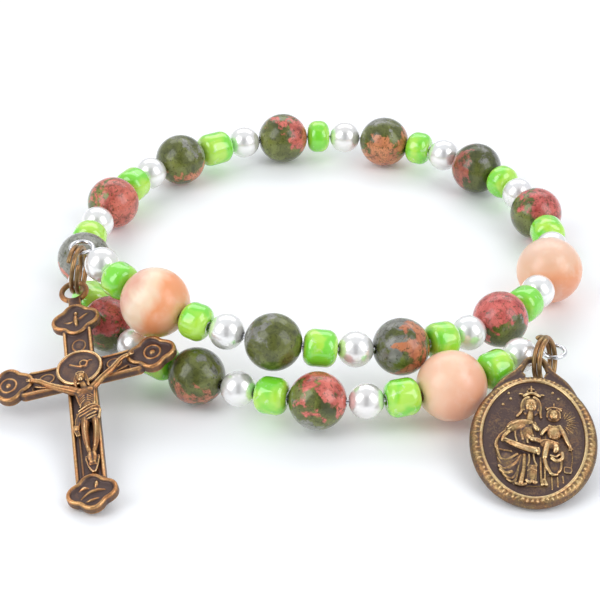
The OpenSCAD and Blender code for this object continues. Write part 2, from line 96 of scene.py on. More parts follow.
class BraceletSizes(bpy.types.PropertyGroup):
    segments: IntProperty(name="Segments", description="Steps around a bead", default=56, min=12)
    stone_bore: FloatProperty(
        name="Bore", description="Bore of stone, pearl and glass beads", default=1.2 * MM, unit="LENGTH")
    coral_bore: FloatProperty(
        name="Coral bore", description="Bore of the coral beads", default=1.7 * MM, unit="LENGTH")
    glass_round: FloatProperty(
        name="Glass rounding", description="Rounding of a glass bead's ends", default=1.5 * MM, unit="LENGTH")


class PendantSizes(bpy.types.PropertyGroup):
    cross_place: FloatVectorProperty(
        name="Cross place", description="Middle of the cross, at its back", subtype="TRANSLATION", unit="LENGTH",
        default=(-0.0290332, -0.0248075, 0.00499981))
    cross_turn: FloatVectorProperty(
        name="Cross turn", description="Tilt, roll and turn of the crucifix", subtype="EULER",
        default=(math.radians(10.178), math.radians(-13.5), math.radians(9.2)))
    medal_place: FloatVectorProperty(
        name="Medal place", description="Middle of the medal, at its back", subtype="TRANSLATION", unit="LENGTH",
        default=(0.0321396, -0.0361055, 0.00301173))
    medal_turn: FloatVectorProperty(
        name="Medal turn", description="Tilt, roll and turn of the medal", subtype="EULER",
        default=(math.radians(15.965), 0.0, math.radians(-4.031)))
    cross_skin: FloatProperty(
        name="Cross skin", description="Mesh size of the cross, in mm", default=0.105, min=0.08)
    medal_skin: FloatProperty(
        name="Medal skin", description="Mesh size of the medal, in mm", default=0.092, min=0.08)
    figure_skin: FloatProperty(
        name="Figure skin", description="Mesh size of the raised figures, in mm", default=0.062, min=0.05)


class BraceletColours(bpy.types.PropertyGroup):
    stone_pink: FloatVectorProperty(
        name="Stone pink", description="Pink feldspar", default=(0.60, 0.13, 0.115), subtype="COLOR")
    stone_orange: FloatVectorProperty(
        name="Stone orange", description="Orange feldspar", default=(0.52, 0.20, 0.085), subtype="COLOR")
    stone_red: FloatVectorProperty(
        name="Stone red", description="Darkest feldspar", default=(0.36, 0.035, 0.035), subtype="COLOR")
    stone_green: FloatVectorProperty(
        name="Stone green", description="Light epidote", default=(0.168, 0.19, 0.042), subtype="COLOR")
    stone_dark: FloatVectorProperty(
        name="Stone dark", description="Dark epidote", default=(0.05, 0.058, 0.012), subtype="COLOR")
    stone_grey: FloatVectorProperty(
        name="Stone grey", description="Quartz", default=(0.235, 0.235, 0.20), subtype="COLOR")
    glass_green: FloatVectorProperty(
        name="Glass green", description="Lime glass", default=(0.20, 0.74, 0.03), subtype="COLOR")
    # Yellow-green lustre laid on the glass as colour: a painted iridescent sheen
    glass_painted_lustre: FloatVectorProperty(
        name="Glass lustre", description="Yellow lustre on the glass", default=(0.47, 0.84, 0.07), subtype="COLOR")
    pearl_white: FloatVectorProperty(
        name="Pearl", description="Pearl coat", default=(0.97, 0.97, 0.98), subtype="COLOR")
    patina: FloatVectorProperty(
        name="Patina", description="Dark metal in the recesses", default=(0.095, 0.060, 0.054), subtype="COLOR")
    copper: FloatVectorProperty(
        name="Copper", description="Rubbed copper on the edges", default=(0.62, 0.34, 0.14), subtype="COLOR")
    brass: FloatVectorProperty(
        name="Brass", description="Rubbed bronze of the medal", default=(0.57, 0.37, 0.165), subtype="COLOR")


class BraceletCamera(bpy.types.PropertyGroup):
    place: FloatVectorProperty(
        name="Place", description="Where the camera stands", default=(0.00058, -0.27037, 0.17485),
        subtype="TRANSLATION", unit="LENGTH")
    target: FloatVectorProperty(
        name="Target", description="Point the camera looks at", default=(0.00058, 0.00323, 0.0),
        subtype="TRANSLATION", unit="LENGTH")
    roll: FloatProperty(
        name="Roll", description="Turn about the line of sight", default=math.radians(1.458), unit="ROTATION")
    lens: FloatProperty(name="Lens", description="Focal length on a 36 mm sensor", default=130.36)


# Materials


def feed(tree, node, values):
    """Links or sets a node's inputs, by name or number."""
    for name, value in values.items():
        if isinstance(value, bpy.types.NodeSocket):
            tree.links.new(value, node.inputs[name])
        else:
            node.inputs[name].default_value = value
    return node


def add(tree, kind, values=None, **settings):
    node = tree.nodes.new("ShaderNode" + kind)
    for name, value in settings.items():
        setattr(node, name, value)
    return feed(tree, node, values or {})


def rgba(colour, light=1.0):
    return (min(1.0, colour[0] * light), min(1.0, colour[1] * light), min(1.0, colour[2] * light), 1.0)


def colour_mix(tree, factor, low, high):
    # A colour mix has its factor at input 0, its colours at inputs 6 and 7 and its result at output 2
    return add(tree, "Mix", {0: factor, 6: low, 7: high}, data_type="RGBA").outputs[2]


def math_of(tree, operation, *values):
    return add(tree, "Math", dict(enumerate(values)), operation=operation).outputs[0]


def ramp(tree, factor, stops):
    """Colour ramp through (place, colour) stops."""
    node = tree.nodes.new("ShaderNodeValToRGB")
    marks = node.color_ramp.elements
    marks[0].position, marks[0].color = stops[0]
    marks[1].position, marks[1].color = stops[-1]
    for place, colour in stops[1:-1]:
        marks.new(place).color = colour
    tree.links.new(factor, node.inputs[0])
    return node.outputs[0]


def coordinates(tree):
    return add(tree, "TexCoord").outputs["Object"]


def mask(tree, factor, low, high):
    """0 below low, 1 above high."""
    values = {"Value": factor, "From Min": low, "From Max": high}
    return add(tree, "MapRange", values, interpolation_type="SMOOTHSTEP").outputs[0]


def noise(tree, where, scale, detail, distortion=0.0, roughness=0.55):
    values = {"Vector": where, "Scale": scale, "Detail": detail, "Distortion": distortion, "Roughness": roughness}
    return add(tree, "TexNoise", values).outputs["Fac"]


def new_material(name, **values):
    """Material with its shader's own sockets set, its tree and its shader."""
    material = bpy.data.materials.new(name)
    material.use_nodes = True
    shader = material.node_tree.nodes["Principled BSDF"]
    feed(material.node_tree, shader, {key.replace("_", " "): value for key, value in values.items()})
    return material, material.node_tree, shader


def centred(tree, centre, shift=(0.0, 0.0, 0.0)):
    """Object coordinates measured from a bead's centre."""
    offset = Vector(shift) - Vector(centre)
    return add(tree, "Mapping", {"Vector": coordinates(tree), "Location": offset}).outputs[0]


def towards(tree, centre, direction, radius):
    """-1 to 1 across a bead, along a direction."""
    values = {0: centred(tree, centre), 1: Vector(direction).normalized() / radius}
    return add(tree, "VectorMath", values, operation="DOT_PRODUCT").outputs["Value"]


def bump(tree, shader, height, strength, distance):
    node = add(tree, "Bump", {"Height": height, "Strength": strength, "Distance": distance})
    tree.links.new(node.outputs[0], shader.inputs["Normal"])


def between(first, second, share):
    return [a + (b - a) * share for a, b in zip(first, second)]


def stone_material(number, centre, colours):
    """Zones of feldspar, epidote and quartz, each mottled and crossed by fine veins."""
    pink_share, pink_side, warm, grey_share, grey_side, light = STONES[number]
    material, tree, shader = new_material(
        f"unakite_{number + 1}", Roughness=0.24, Coat_Weight=0.5, Coat_Roughness=0.07, IOR=1.4)
    own = centred(tree, centre, (0.031 * number, 0.017 * number, 0.023))
    patches = noise(tree, own, 230, 3.0, 0.8)
    clouds = noise(tree, own, 310, 3.0, 0.6)
    mottle = noise(tree, own, 620, 4.0, 0.4, 0.62)
    grain = noise(tree, own, 1900, 3.0, 0.2, 0.6)

    def zone(side, spread, share, soft):
        facing = towards(tree, centre, PICTURE_RIGHT * side[0] + PICTURE_UP * side[1], STONE_RADIUS)
        level = math_of(tree, "MULTIPLY_ADD", facing, 0.24, spread)
        level = math_of(tree, "MULTIPLY_ADD", mottle, 0.6, level)
        return mask(tree, level, 0.85 - 0.5 * share - soft, 0.85 - 0.5 * share + soft)

    pink = between(colours.stone_pink, colours.stone_orange, warm)
    deep = between(colours.stone_red, colours.stone_orange, 0.6 * warm)
    pink_colour = ramp(tree, mottle, [
        (0.32, rgba(deep, 0.75 * light)), (0.47, rgba(between(deep, pink, 0.6), light)),
        (0.62, rgba(pink, 1.15 * light))])
    green_colour = ramp(tree, math_of(tree, "MULTIPLY_ADD", grain, 0.3, math_of(tree, "MULTIPLY", clouds, 0.7)), [
        (0.36, rgba(colours.stone_dark, light)), (0.5, rgba(colours.stone_green, 0.75 * light)),
        (0.64, rgba(colours.stone_green, 1.3 * light))])
    grey_colour = ramp(tree, mottle, [
        (0.35, rgba(colours.stone_grey, 0.6 * light)), (0.62, rgba(colours.stone_grey, 1.15 * light))])
    body = colour_mix(tree, zone(grey_side, clouds, grey_share, 0.05), green_colour, grey_colour)
    body = colour_mix(tree, zone(pink_side, patches, pink_share, 0.04), body, pink_colour)
    vein = mask(tree, math_of(tree, "ABSOLUTE", math_of(tree, "SUBTRACT", clouds, 0.5)), 0.016, 0.0)
    body = colour_mix(tree, math_of(tree, "MULTIPLY", vein, 0.5), body, rgba(colours.stone_dark, 0.8))
    specks = mask(tree, grain, 0.54, 0.66)
    body = colour_mix(tree, math_of(tree, "MULTIPLY", specks, 0.7), body, rgba(colours.stone_dark, 0.7))
    tree.links.new(body, shader.inputs["Base Color"])
    return material


def coral_material(number, centre):
    """Pale and orange bands across the first bead; on the other two the colour runs from pale at the top to deeper
    orange lower down.
    """
    bands = [
        ((0.86, -0.42), [(0.08, (0.80, 0.42, 0.30)), (0.26, (0.94, 0.73, 0.54)), (0.40, (0.94, 0.68, 0.47)),
                         (0.56, (0.90, 0.36, 0.16)), (0.72, (0.90, 0.37, 0.17)), (0.95, (0.88, 0.46, 0.28))]),
        ((0.25, -0.9), [(0.1, (0.88, 0.60, 0.46)), (0.45, (0.87, 0.52, 0.34)), (0.7, (0.86, 0.36, 0.17)),
                        (0.95, (0.80, 0.34, 0.2))]),
        ((0.7, -0.5), [(0.05, (0.92, 0.56, 0.39)), (0.4, (0.95, 0.60, 0.42)), (0.7, (0.90, 0.47, 0.30)),
                       (0.95, (0.86, 0.40, 0.24))]),
    ]
    direction, stops = bands[number]
    material, tree, shader = new_material(
        f"coral_{number + 1}", Roughness=0.3, Coat_Weight=0.35, Coat_Roughness=0.12,
        Subsurface_Weight=0.25, Subsurface_Scale=0.0015, Subsurface_Radius=(1.0, 0.6, 0.4))
    side = PICTURE_RIGHT * direction[0] + PICTURE_UP * direction[1]
    own = centred(tree, centre, (0.05 * number, 0.0, 0.0))
    ripple = noise(tree, own, 130, 3.0, 0.6)
    across = towards(tree, centre, side, CORAL_RADIUS)
    place = math_of(tree, "MULTIPLY_ADD", across, 0.5, 0.22)
    place = math_of(tree, "MULTIPLY_ADD", ripple, 0.56, place)
    body = ramp(tree, place, [(at, rgba(colour)) for at, colour in stops])
    cloud = mask(tree, noise(tree, own, 420, 4.0, 0.3), 0.5, 0.75)
    body = colour_mix(tree, math_of(tree, "MULTIPLY", cloud, 0.25), body, (0.95, 0.80, 0.68, 1.0))
    tree.links.new(body, shader.inputs["Base Color"])
    return material


def pearl_material(colours):
    material, tree, shader = new_material(
        "pearl_coat", Roughness=0.24, Coat_Weight=0.8, Coat_Roughness=0.08, Metallic=0.55, IOR=1.7)
    where = coordinates(tree)
    body = ramp(tree, noise(tree, where, 180, 2.0), [
        (0.3, rgba(colours.pearl_white)), (0.5, (0.95, 0.94, 0.93, 1.0)), (0.7, (0.93, 0.90, 0.88, 1.0))])
    tree.links.new(body, shader.inputs["Base Color"])
    return material


def glass_material(colours):
    material, tree, shader = new_material(
        "lime_glass", Roughness=0.12, Coat_Weight=1.0, Coat_Roughness=0.04, IOR=1.6)
    where = coordinates(tree)
    broad = noise(tree, where, 240, 2.0, 0.4)
    fine = noise(tree, where, 900, 3.0, 0.6)
    # Yellow-green patches of painted iridescent sheen over the lime glass
    painted_lustre = mask(tree, broad, 0.42, 0.62)
    body = colour_mix(tree, painted_lustre, rgba(colours.glass_green), rgba(colours.glass_painted_lustre))
    # Whitish flecks are painted glints
    painted_glints = mask(tree, fine, 0.6, 0.72)
    body = colour_mix(tree, math_of(tree, "MULTIPLY", painted_glints, 0.4), body, (0.75, 0.92, 0.66, 1.0))
    tree.links.new(body, shader.inputs["Base Color"])
    bump(tree, shader, broad, 0.25, 0.0003)
    return material


def wire_material():
    material, tree, shader = new_material("spring_steel", Metallic=1.0)
    where = coordinates(tree)
    draw = noise(tree, where, 2200, 2.0)
    shader.inputs["Base Color"].default_value = (0.70, 0.70, 0.72, 1.0)
    rough = add(tree, "MapRange", {"Value": draw, "To Min": 0.12, "To Max": 0.3}).outputs[0]
    tree.links.new(rough, shader.inputs["Roughness"])
    return material


def antique_material(name, dark, bright, roughness, cloudy, stipple):
    """Dark metal in the recesses, rubbed metal on the edges and a painted highlight on the brightest crests, by the
    piece's own wear attribute.
    """
    material, tree, shader = new_material(name)
    where = coordinates(tree)
    wear = add(tree, "Attribute", attribute_name="wear").outputs["Fac"]
    cloud = noise(tree, where, 340, 4.0, 0.3, 0.65)
    grit = noise(tree, where, 3200, 3.0, 0.0, 0.7)
    level = math_of(tree, "MULTIPLY_ADD", cloud, cloudy, wear)
    level = math_of(tree, "MULTIPLY_ADD", grit, stipple, level)
    start = 0.22 + (cloudy + stipple) / 2
    rubbed = add(tree, "MapRange", {"Value": level, "From Min": start, "From Max": start + 0.78}).outputs[0]
    # Ramp from patina to rubbed metal; its top stop goes pale gold, which is bare metal with a painted highlight on the
    # crests
    worn_and_highlit_tones = [
        ramp(tree, rubbed, [
            (0.0, rgba(dark)), (0.2, rgba(between(dark, tone, 0.14))), (0.45, rgba(tone, 0.45)),
            (0.72, rgba(tone, 0.95)), (1.0, rgba(between(tone, (1.0, 0.85, 0.5), 0.38)))])
        for tone in (bright, (bright[0] * 1.04, bright[1] * 0.86, bright[2] * 0.85))]
    redder = mask(tree, noise(tree, where, 520, 2.0, 0.4), 0.42, 0.62)
    body = colour_mix(tree, redder, *worn_and_highlit_tones)
    tree.links.new(body, shader.inputs["Base Color"])
    metal = add(tree, "MapRange", {"Value": rubbed, "To Min": 0.6, "To Max": 1.0}).outputs[0]
    tree.links.new(metal, shader.inputs["Metallic"])
    rough = add(tree, "MapRange", {"Value": rubbed, "To Min": roughness + 0.2, "To Max": roughness}).outputs[0]
    tree.links.new(rough, shader.inputs["Roughness"])
    uneven = math_of(tree, "MULTIPLY_ADD", noise(tree, where, 1100, 2.0), 2.0, grit)
    bump(tree, shader, uneven, 0.45, 0.00007)
    return material


# Meshes


def finish_piece(name, bm, material, replaced):
    """Turns a bmesh into a piece of the bracelet."""
    mesh = bpy.data.meshes.new(name)
    for face in bm.faces:
        face.smooth = True
    bm.to_mesh(mesh)
    bm.free()
    piece = bpy.data.objects.new(name, mesh)
    bpy.context.collection.objects.link(piece)
    mesh.materials.append(material)
    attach(piece, BODY)
    if replaced:
        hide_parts(replaced)
    return piece


def read_out(items, attribute, width, kind=np.float64):
    """One row of numbers for each of a mesh's items."""
    values = np.empty(len(items) * width, kind)
    items.foreach_get(attribute, values)
    return values.reshape(-1, width)


def string_beads():
    """Kind, node, centre, axis, length and width of each bead, in metres."""
    count = {"S": 0, "C": 0, "P": 0, "G": 0}
    words = {"S": "stone", "C": "coral", "P": "pearl"}
    beads = []
    for kind in STRING:
        count[kind] += 1
        bead = {"kind": kind, "number": count[kind] - 1}
        if kind != "G":
            bead["node"] = f"{words[kind]}_{count[kind]}"
            low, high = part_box(bead["node"])
            bead["centre"] = (Vector(low) + Vector(high)) / 2
            bead["width"] = bead["length"] = high[0] - low[0]
        beads.append(bead)
    glass = [index for index, bead in enumerate(beads) if bead["kind"] == "G"]
    guesses = np.array([(beads[i - 1]["centre"] + beads[i + 1]["centre"]) / 2 for i in glass])
    points = read_out(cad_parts["glass_beads"].data.vertices, "co", 3)
    nearest = np.linalg.norm(points[:, None, :] - guesses[None, :, :], axis=2).argmin(axis=1)
    for order, index in enumerate(glass):
        own = points[nearest == order]
        centre = (own.min(axis=0) + own.max(axis=0)) / 2
        axis = np.array((beads[index + 1]["centre"] - beads[index - 1]["centre"]).normalized())
        along = (own - centre) @ axis
        beads[index]["centre"] = Vector(centre)
        beads[index]["length"] = along.max() - along.min()
        beads[index]["width"] = 2 * np.linalg.norm(own - centre - along[:, None] * axis, axis=1).max()
    for index, bead in enumerate(beads):
        before, after = beads[max(index - 1, 0)], beads[min(index + 1, len(beads) - 1)]
        bead["axis"] = (after["centre"] - before["centre"]).normalized()
    return beads


def spin_bead(bm, bead, profile, segments):
    """Spins a closed profile of (radius, height) points round a bead's axis."""
    turn = bead["axis"].to_track_quat("Z", "Y").to_matrix().to_4x4()
    place = Matrix.Translation(bead["centre"]) @ turn
    verts = [bm.verts.new((radius, 0.0, height)) for radius, height in profile]
    edges = [bm.edges.new(pair) for pair in zip(verts, verts[1:] + verts[:1])]
    old = set(bm.verts) - set(verts)
    bmesh.ops.spin(
        bm, geom=verts + edges, cent=(0, 0, 0), axis=(0, 0, 1), angle=math.tau, steps=segments, use_merge=True)
    bmesh.ops.transform(bm, matrix=place, verts=[vert for vert in bm.verts if vert not in old])


def arc(centre, radius, start, end, steps):
    """Points of an arc in (radius, height), from start to end in degrees."""
    return [
        (centre[0] + radius * math.cos(math.radians(start + (end - start) * i / steps)),
         centre[1] + radius * math.sin(math.radians(start + (end - start) * i / steps)))
        for i in range(steps + 1)]


def round_profile(radius, bore, rows=22):
    """Ball with a bore whose edges are eased."""
    ease = 0.12 * MM
    edge = math.degrees(math.acos((bore / 2 + ease) / radius))
    points = arc((0.0, 0.0), radius, -edge, edge, rows)
    rim = points[-1][1]
    points += [(bore / 2 + 0.3 * ease, rim - 0.1 * ease), (bore / 2, rim - ease)]
    points += [(bore / 2, ease - rim), (bore / 2 + 0.3 * ease, 0.1 * ease - rim)]
    return points


def barrel_profile(bead, bore, ease):
    """Short barrel with round shoulders."""
    half, radius = bead["length"] / 2, bead["width"] / 2
    ease = min(ease, half - 0.3 * MM)
    points = arc((radius - ease, ease - half), ease, -90, 0, 7)
    points += arc((radius - ease, half - ease), ease, 0, 90, 7)
    points += [(bore / 2 + 0.1 * MM, half), (bore / 2, half - 0.1 * MM)]
    points += [(bore / 2, 0.1 * MM - half), (bore / 2 + 0.1 * MM, -half)]
    return points


def make_round_beads(kind, name, material_of, bore, segments):
    for bead in string_beads():
        if bead["kind"] != kind:
            continue
        bm = bmesh.new()
        spin_bead(bm, bead, round_profile(bead["width"] / 2, bore), segments)
        bmesh.ops.recalc_face_normals(bm, faces=bm.faces)
        material = material_of(bead)
        finish_piece(f"{name}_{bead['number'] + 1}_looks", bm, material, bead["node"])


def smooth_copy(node, name, material):
    """Round-sided copy of a node that the source sweeps with few sides."""
    bm = bmesh.new()
    bm.from_mesh(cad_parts[node].data)
    bmesh.ops.remove_doubles(bm, verts=bm.verts, dist=0.002 * MM)
    bmesh.ops.join_triangles(
        bm, faces=bm.faces, angle_face_threshold=math.radians(50), angle_shape_threshold=math.radians(60))
    bmesh.ops.recalc_face_normals(bm, faces=bm.faces)
    bm.normal_update()
    for vert in bm.verts:
        vert.co += vert.normal * ROUNDING
    piece = finish_piece(name, bm, material, node)
    wear = piece.data.attributes.new("wear", "FLOAT", "POINT")
    wear.data.foreach_set("value", [RING_WEAR] * len(piece.data.vertices))
    finer = piece.modifiers.new("Round", "SUBSURF")
    finer.levels = finer.render_levels = 2


# Sculpting, in millimetres from a pendant's own middle: x to the right, y to the bail, z up from the back


def put(bm, part):
    """Adds a small bmesh to a larger one."""
    mesh = bpy.data.meshes.new("part")
    part.to_mesh(mesh)
    part.free()
    bm.from_mesh(mesh)
    bpy.data.meshes.remove(mesh)


def orb(bm, at, size, turn=0.0):
    """Ellipsoid, turned about z by degrees."""
    place = Matrix.Translation(at) @ Matrix.Rotation(math.radians(turn), 4, "Z") @ Matrix.Diagonal((*size, 1.0))
    part = bmesh.new()
    bmesh.ops.create_uvsphere(part, u_segments=14, v_segments=9, radius=1.0, matrix=place)
    put(bm, part)


def limb(bm, points, closed=False, fine=1):
    """Tube with round joints through (x, y, z, radius) points."""
    part = bmesh.new()
    for x, y, z, radius in points:
        bmesh.ops.create_icosphere(part, subdivisions=fine, radius=radius, matrix=Matrix.Translation((x, y, z)))
    for first, second in zip(points, points[1:] + (points[:1] if closed else [])):
        start, end = Vector(first[:3]), Vector(second[:3])
        if (end - start).length > 0.01:
            turn = (end - start).to_track_quat("Z", "Y").to_matrix().to_4x4()
            bmesh.ops.create_cone(
                part, cap_ends=True, segments=10 * fine, radius1=first[3], radius2=second[3],
                depth=(end - start).length, matrix=Matrix.Translation((start + end) / 2) @ turn)
    put(bm, part)


def curved(points, steps=4):
    """Smooth path through the points."""
    points = [np.array(point, float) for point in points]
    ends = [2 * points[0] - points[1]] + points + [2 * points[-1] - points[-2]]
    path = []
    for a, b, c, d in zip(ends, ends[1:], ends[2:], ends[3:]):
        for t in np.arange(steps) / steps:
            path.append(0.5 * (
                2 * b + (c - a) * t + (2 * a - 5 * b + 4 * c - d) * t ** 2 + (3 * b - a - 3 * c + d) * t ** 3))
    return [tuple(float(value) for value in point) for point in path + [points[-1]]]


def sweep(bm, points, z, radius, steps=4):
    """Raised line of one height and thickness along (x, y) points; both may run from one value to another."""
    low, high = z if isinstance(z, tuple) else (z, z)
    thin, thick = radius if isinstance(radius, tuple) else (radius, radius)
    last = len(points) - 1
    limb(bm, curved([
        (x, y, low + (high - low) * i / last, thin + (thick - thin) * i / last)
        for i, (x, y) in enumerate(points)], steps))


def bend(bm, points, fine=1):
    """Tube bent smoothly through (x, y, z, radius) points."""
    limb(bm, curved(points), fine=fine)


def hoop(bm, centre, radii, z, tube, steps, fine=1):
    """Tube bent to a circle or an oval."""
    limb(bm, [
        (centre[0] + radii[0] * math.cos(math.tau * i / steps), centre[1] + radii[1] * math.sin(math.tau * i / steps),
         z, tube) for i in range(steps)], closed=True, fine=fine)


def oval(centre, radii, steps=72):
    return [(centre[0] + radii[0] * math.cos(math.tau * i / steps),
             centre[1] + radii[1] * math.sin(math.tau * i / steps)) for i in range(steps)]


def raise_faces(part, faces, height):
    raised = bmesh.ops.extrude_face_region(part, geom=faces)["geom"]
    verts = [item for item in raised if isinstance(item, bmesh.types.BMVert)]
    bmesh.ops.translate(part, vec=(0, 0, height), verts=verts)


def slab(bm, outline, low, high):
    """Plate of the given outline."""
    part = bmesh.new()
    face = part.faces.new([part.verts.new((x, y, low)) for x, y in outline])
    raise_faces(part, [face], high - low)
    bmesh.ops.recalc_face_normals(part, faces=part.faces)
    put(bm, part)


def band(bm, inner, outer, low, high):
    """Flat ring between two outlines of as many points."""
    part = bmesh.new()
    edges = []
    for outline in (inner, outer):
        verts = [part.verts.new((x, y, low)) for x, y in outline]
        edges += [part.edges.new(pair) for pair in zip(verts, verts[1:] + verts[:1])]
    raise_faces(part, bmesh.ops.bridge_loops(part, edges=edges)["faces"], high - low)
    bmesh.ops.recalc_face_normals(part, faces=part.faces)
    put(bm, part)


def relaxed(points, edges, rounds):
    """Points after rounds of averaging with their neighbours."""
    count = np.bincount(edges.ravel(), minlength=len(points))[:, None]
    for _ in range(rounds):
        total = np.stack([
            np.bincount(edges[:, 0], points[edges[:, 1], axis], len(points))
            + np.bincount(edges[:, 1], points[edges[:, 0], axis], len(points)) for axis in range(3)], axis=1)
        points = 0.4 * points + 0.6 * total / count
    return points


def fused(bm, skin):
    """One closed skin round overlapping shells."""
    rough = bpy.data.meshes.new("rough")
    bm.to_mesh(rough)
    bm.free()
    pattern = bpy.data.objects.new("rough", rough)
    bpy.context.collection.objects.link(pattern)
    fuse = pattern.modifiers.new("Fuse", "REMESH")
    fuse.mode, fuse.voxel_size = "VOXEL", skin
    ease = pattern.modifiers.new("Ease", "SMOOTH")
    ease.factor, ease.iterations = 0.5, 3
    mesh = bpy.data.meshes.new_from_object(pattern.evaluated_get(bpy.context.evaluated_depsgraph_get()))
    bpy.data.objects.remove(pattern)
    bpy.data.meshes.remove(rough)
    bm = bmesh.new()
    bm.from_mesh(mesh)
    bpy.data.meshes.remove(mesh)
    return bm


def mark_wear(mesh, skin, rise, edge):
    """Marks, from 0 to 1, how much a cast skin is rubbed.

    rise is (low, high, share): what the height above low adds to the wear, all of share from high on.
    edge is how much sharp edges add to it.
    """
    points, normals = read_out(mesh.vertices, "co", 3), read_out(mesh.vertices, "normal", 3)
    edges = read_out(mesh.edges, "vertices", 2, np.int32)
    # As many rounds as blur the skin over the same distances at any mesh size
    near = relaxed(points, edges, max(2, round(0.05 / skin ** 2)))
    far = relaxed(near, edges, round(0.45 / skin ** 2))
    low, high, share = rise
    wear = edge * ((points - near) * normals).sum(axis=1) + 2.2 * ((points - far) * normals).sum(axis=1)
    wear += share * np.clip((near[:, 2] - low) / (high - low), 0.0, 1.0)
    marks = mesh.attributes.new("wear", "FLOAT", "POINT")
    marks.data.foreach_set("value", np.clip(0.25 + wear, 0.0, 1.0).astype(np.float32))


def cast(name, bm, skin, place, material, rise, edge, replaced=None):
    """Fuses sculpted shells into one cast piece and sets it in its place."""
    piece = finish_piece(name, fused(bm, skin), material, replaced)
    mark_wear(piece.data, skin, rise, edge)
    piece.data.transform(place @ Matrix.Scale(MM, 4))


def pendant_place(place, turn):
    return (Matrix.Translation(place) @ Matrix.Rotation(turn[2], 4, "Z") @ Matrix.Rotation(turn[0], 4, "X")
            @ Matrix.Rotation(turn[1], 4, "Y"))


# Crucifix


def petal_path(centre, radius, z, tube, steps=10):
    """Closed path round the four rounds of a lobe, with its notches softened."""
    side, up = LOBE_REACH
    span = math.hypot(side, up)
    out = math.sqrt(radius ** 2 - span ** 2 / 4) / span
    notch = (side / 2 + up * out, up / 2 + side * out)
    halves = (math.atan2(notch[1], notch[0] - side), math.atan2(notch[0], notch[1] - up))
    path = []
    for quarter in range(4):
        middle, half, reach = quarter * math.pi / 2, halves[quarter % 2], LOBE_REACH[quarter % 2]
        for i in range(steps + 1):
            angle = middle + half * (2 * i / steps - 1)
            path.append((
                centre[0] + reach * math.cos(middle) + radius * math.cos(angle),
                centre[1] + reach * math.sin(middle) + radius * math.sin(angle)))
    path = np.array(path)
    for _ in range(4):
        path = (np.roll(path, 1, axis=0) + 2 * path + np.roll(path, -1, axis=0)) / 4
    return [(float(x), float(y), z, tube) for x, y in path]


def sculpt_lobe(bm, centre):
    slab(bm, [point[:2] for point in petal_path(centre, 1.6, 0.0, 0.0)], 0.03, 1.2)
    limb(bm, petal_path(centre, 1.38, 0.58, 0.5), closed=True, fine=2)
    limb(bm, petal_path(centre, 1.5, 0.92, 0.38), closed=True, fine=2)
    limb(bm, petal_path(centre, 1.54, 1.27, 0.32), closed=True, fine=2)


def sculpt_beams(bm):
    slab(bm, [(-1.98, -21.4), (1.98, -21.4), (1.98, 8.2), (-1.98, 8.2)], 0.03, 1.06)
    # Ridges of the foot beam, on both sides of the legs
    limb(bm, [(-1.05, -8.5, 1.02, 0.2), (-0.95, -20.3, 1.02, 0.2)])
    limb(bm, [(1.95, -9.5, 1.0, 0.2), (1.55, -20.3, 1.02, 0.2)])
    limb(bm, [(1.45, -12.5, 1.0, 0.14), (1.15, -20.3, 1.02, 0.14)])
    for side in (-1, 1):
        for low, high in ((-20.9, -2.8), (1.0, 7.4)):
            slab(bm, [(side * 1.6, low), (side * 2.02, low), (side * 2.02, high), (side * 1.6, high)], 0.03, 1.2)
            limb(bm, [(side * 1.78, low, 1.18, 0.27), (side * 1.78, high, 1.18, 0.27)])
        slab(bm, [(side * x, y) for x, y in (
            (1.5, 1.1), (8.4, 1.1), (8.4, -1.45), (6.7, -1.45), (4.2, -2.46), (1.5, -2.46))], 0.03, 1.06)
        slab(bm, [(side * x, y) for x, y in (
            (1.5, -2.4), (8.5, -2.4), (8.5, -2.75), (8.0, -2.93), (1.5, -2.93))], 0.03, 1.15)
        slab(bm, [(side * x, y) for x, y in ((6.74, -1.3), (8.6, -1.3), (8.6, -2.6), (6.74, -2.6))], 0.03, 1.06)
        bend(bm, [(side * 1.8, 0.95, 1.16, 0.25), (side * 4.5, 0.9, 1.18, 0.23), (side * 6.9, 1.0, 1.2, 0.27)])
        bend(bm, [(side * 1.7, -3.3, 1.1, 0.3), (side * 2.4, -2.75, 1.17, 0.27), (side * 5.0, -2.68, 1.18, 0.26),
                  (side * 7.6, -2.66, 1.18, 0.27), (side * 8.7, -2.35, 1.1, 0.26)])
        hoop(bm, (side * 4.75, -0.6), (1.0, 0.85), 1.06, 0.17, 22)
        orb(bm, (side * 4.75, -0.6, 1.0), (0.8, 0.66, 0.16))
    hoop(bm, (0.1, 4.4), (0.92, 1.1), 1.06, 0.17, 24)
    orb(bm, (0.1, 4.4, 1.0), (0.72, 0.88, 0.16))


def sculpt_halo(bm):
    slab(bm, oval((0.0, -0.6), (3.0, 3.0)), 0.6, 1.76)
    hoop(bm, (0.0, -0.6), (2.95, 2.95), 1.45, 0.34, 48, 2)
    hoop(bm, (0.0, -0.6), (3.02, 3.02), 1.84, 0.26, 48, 2)
    # Curled ribbon above the head
    sweep(bm, [(-1.25, 0.35), (-0.7, -0.05), (-0.1, -0.4), (0.35, -0.55)], 1.84, (0.13, 0.24))
    hoop(bm, (0.62, 0.0), (0.5, 0.55), 1.86, 0.18, 18)
    sweep(bm, [(0.75, -0.6), (1.05, -0.2), (1.35, 0.35), (1.75, 0.45)], 1.84, (0.2, 0.09))


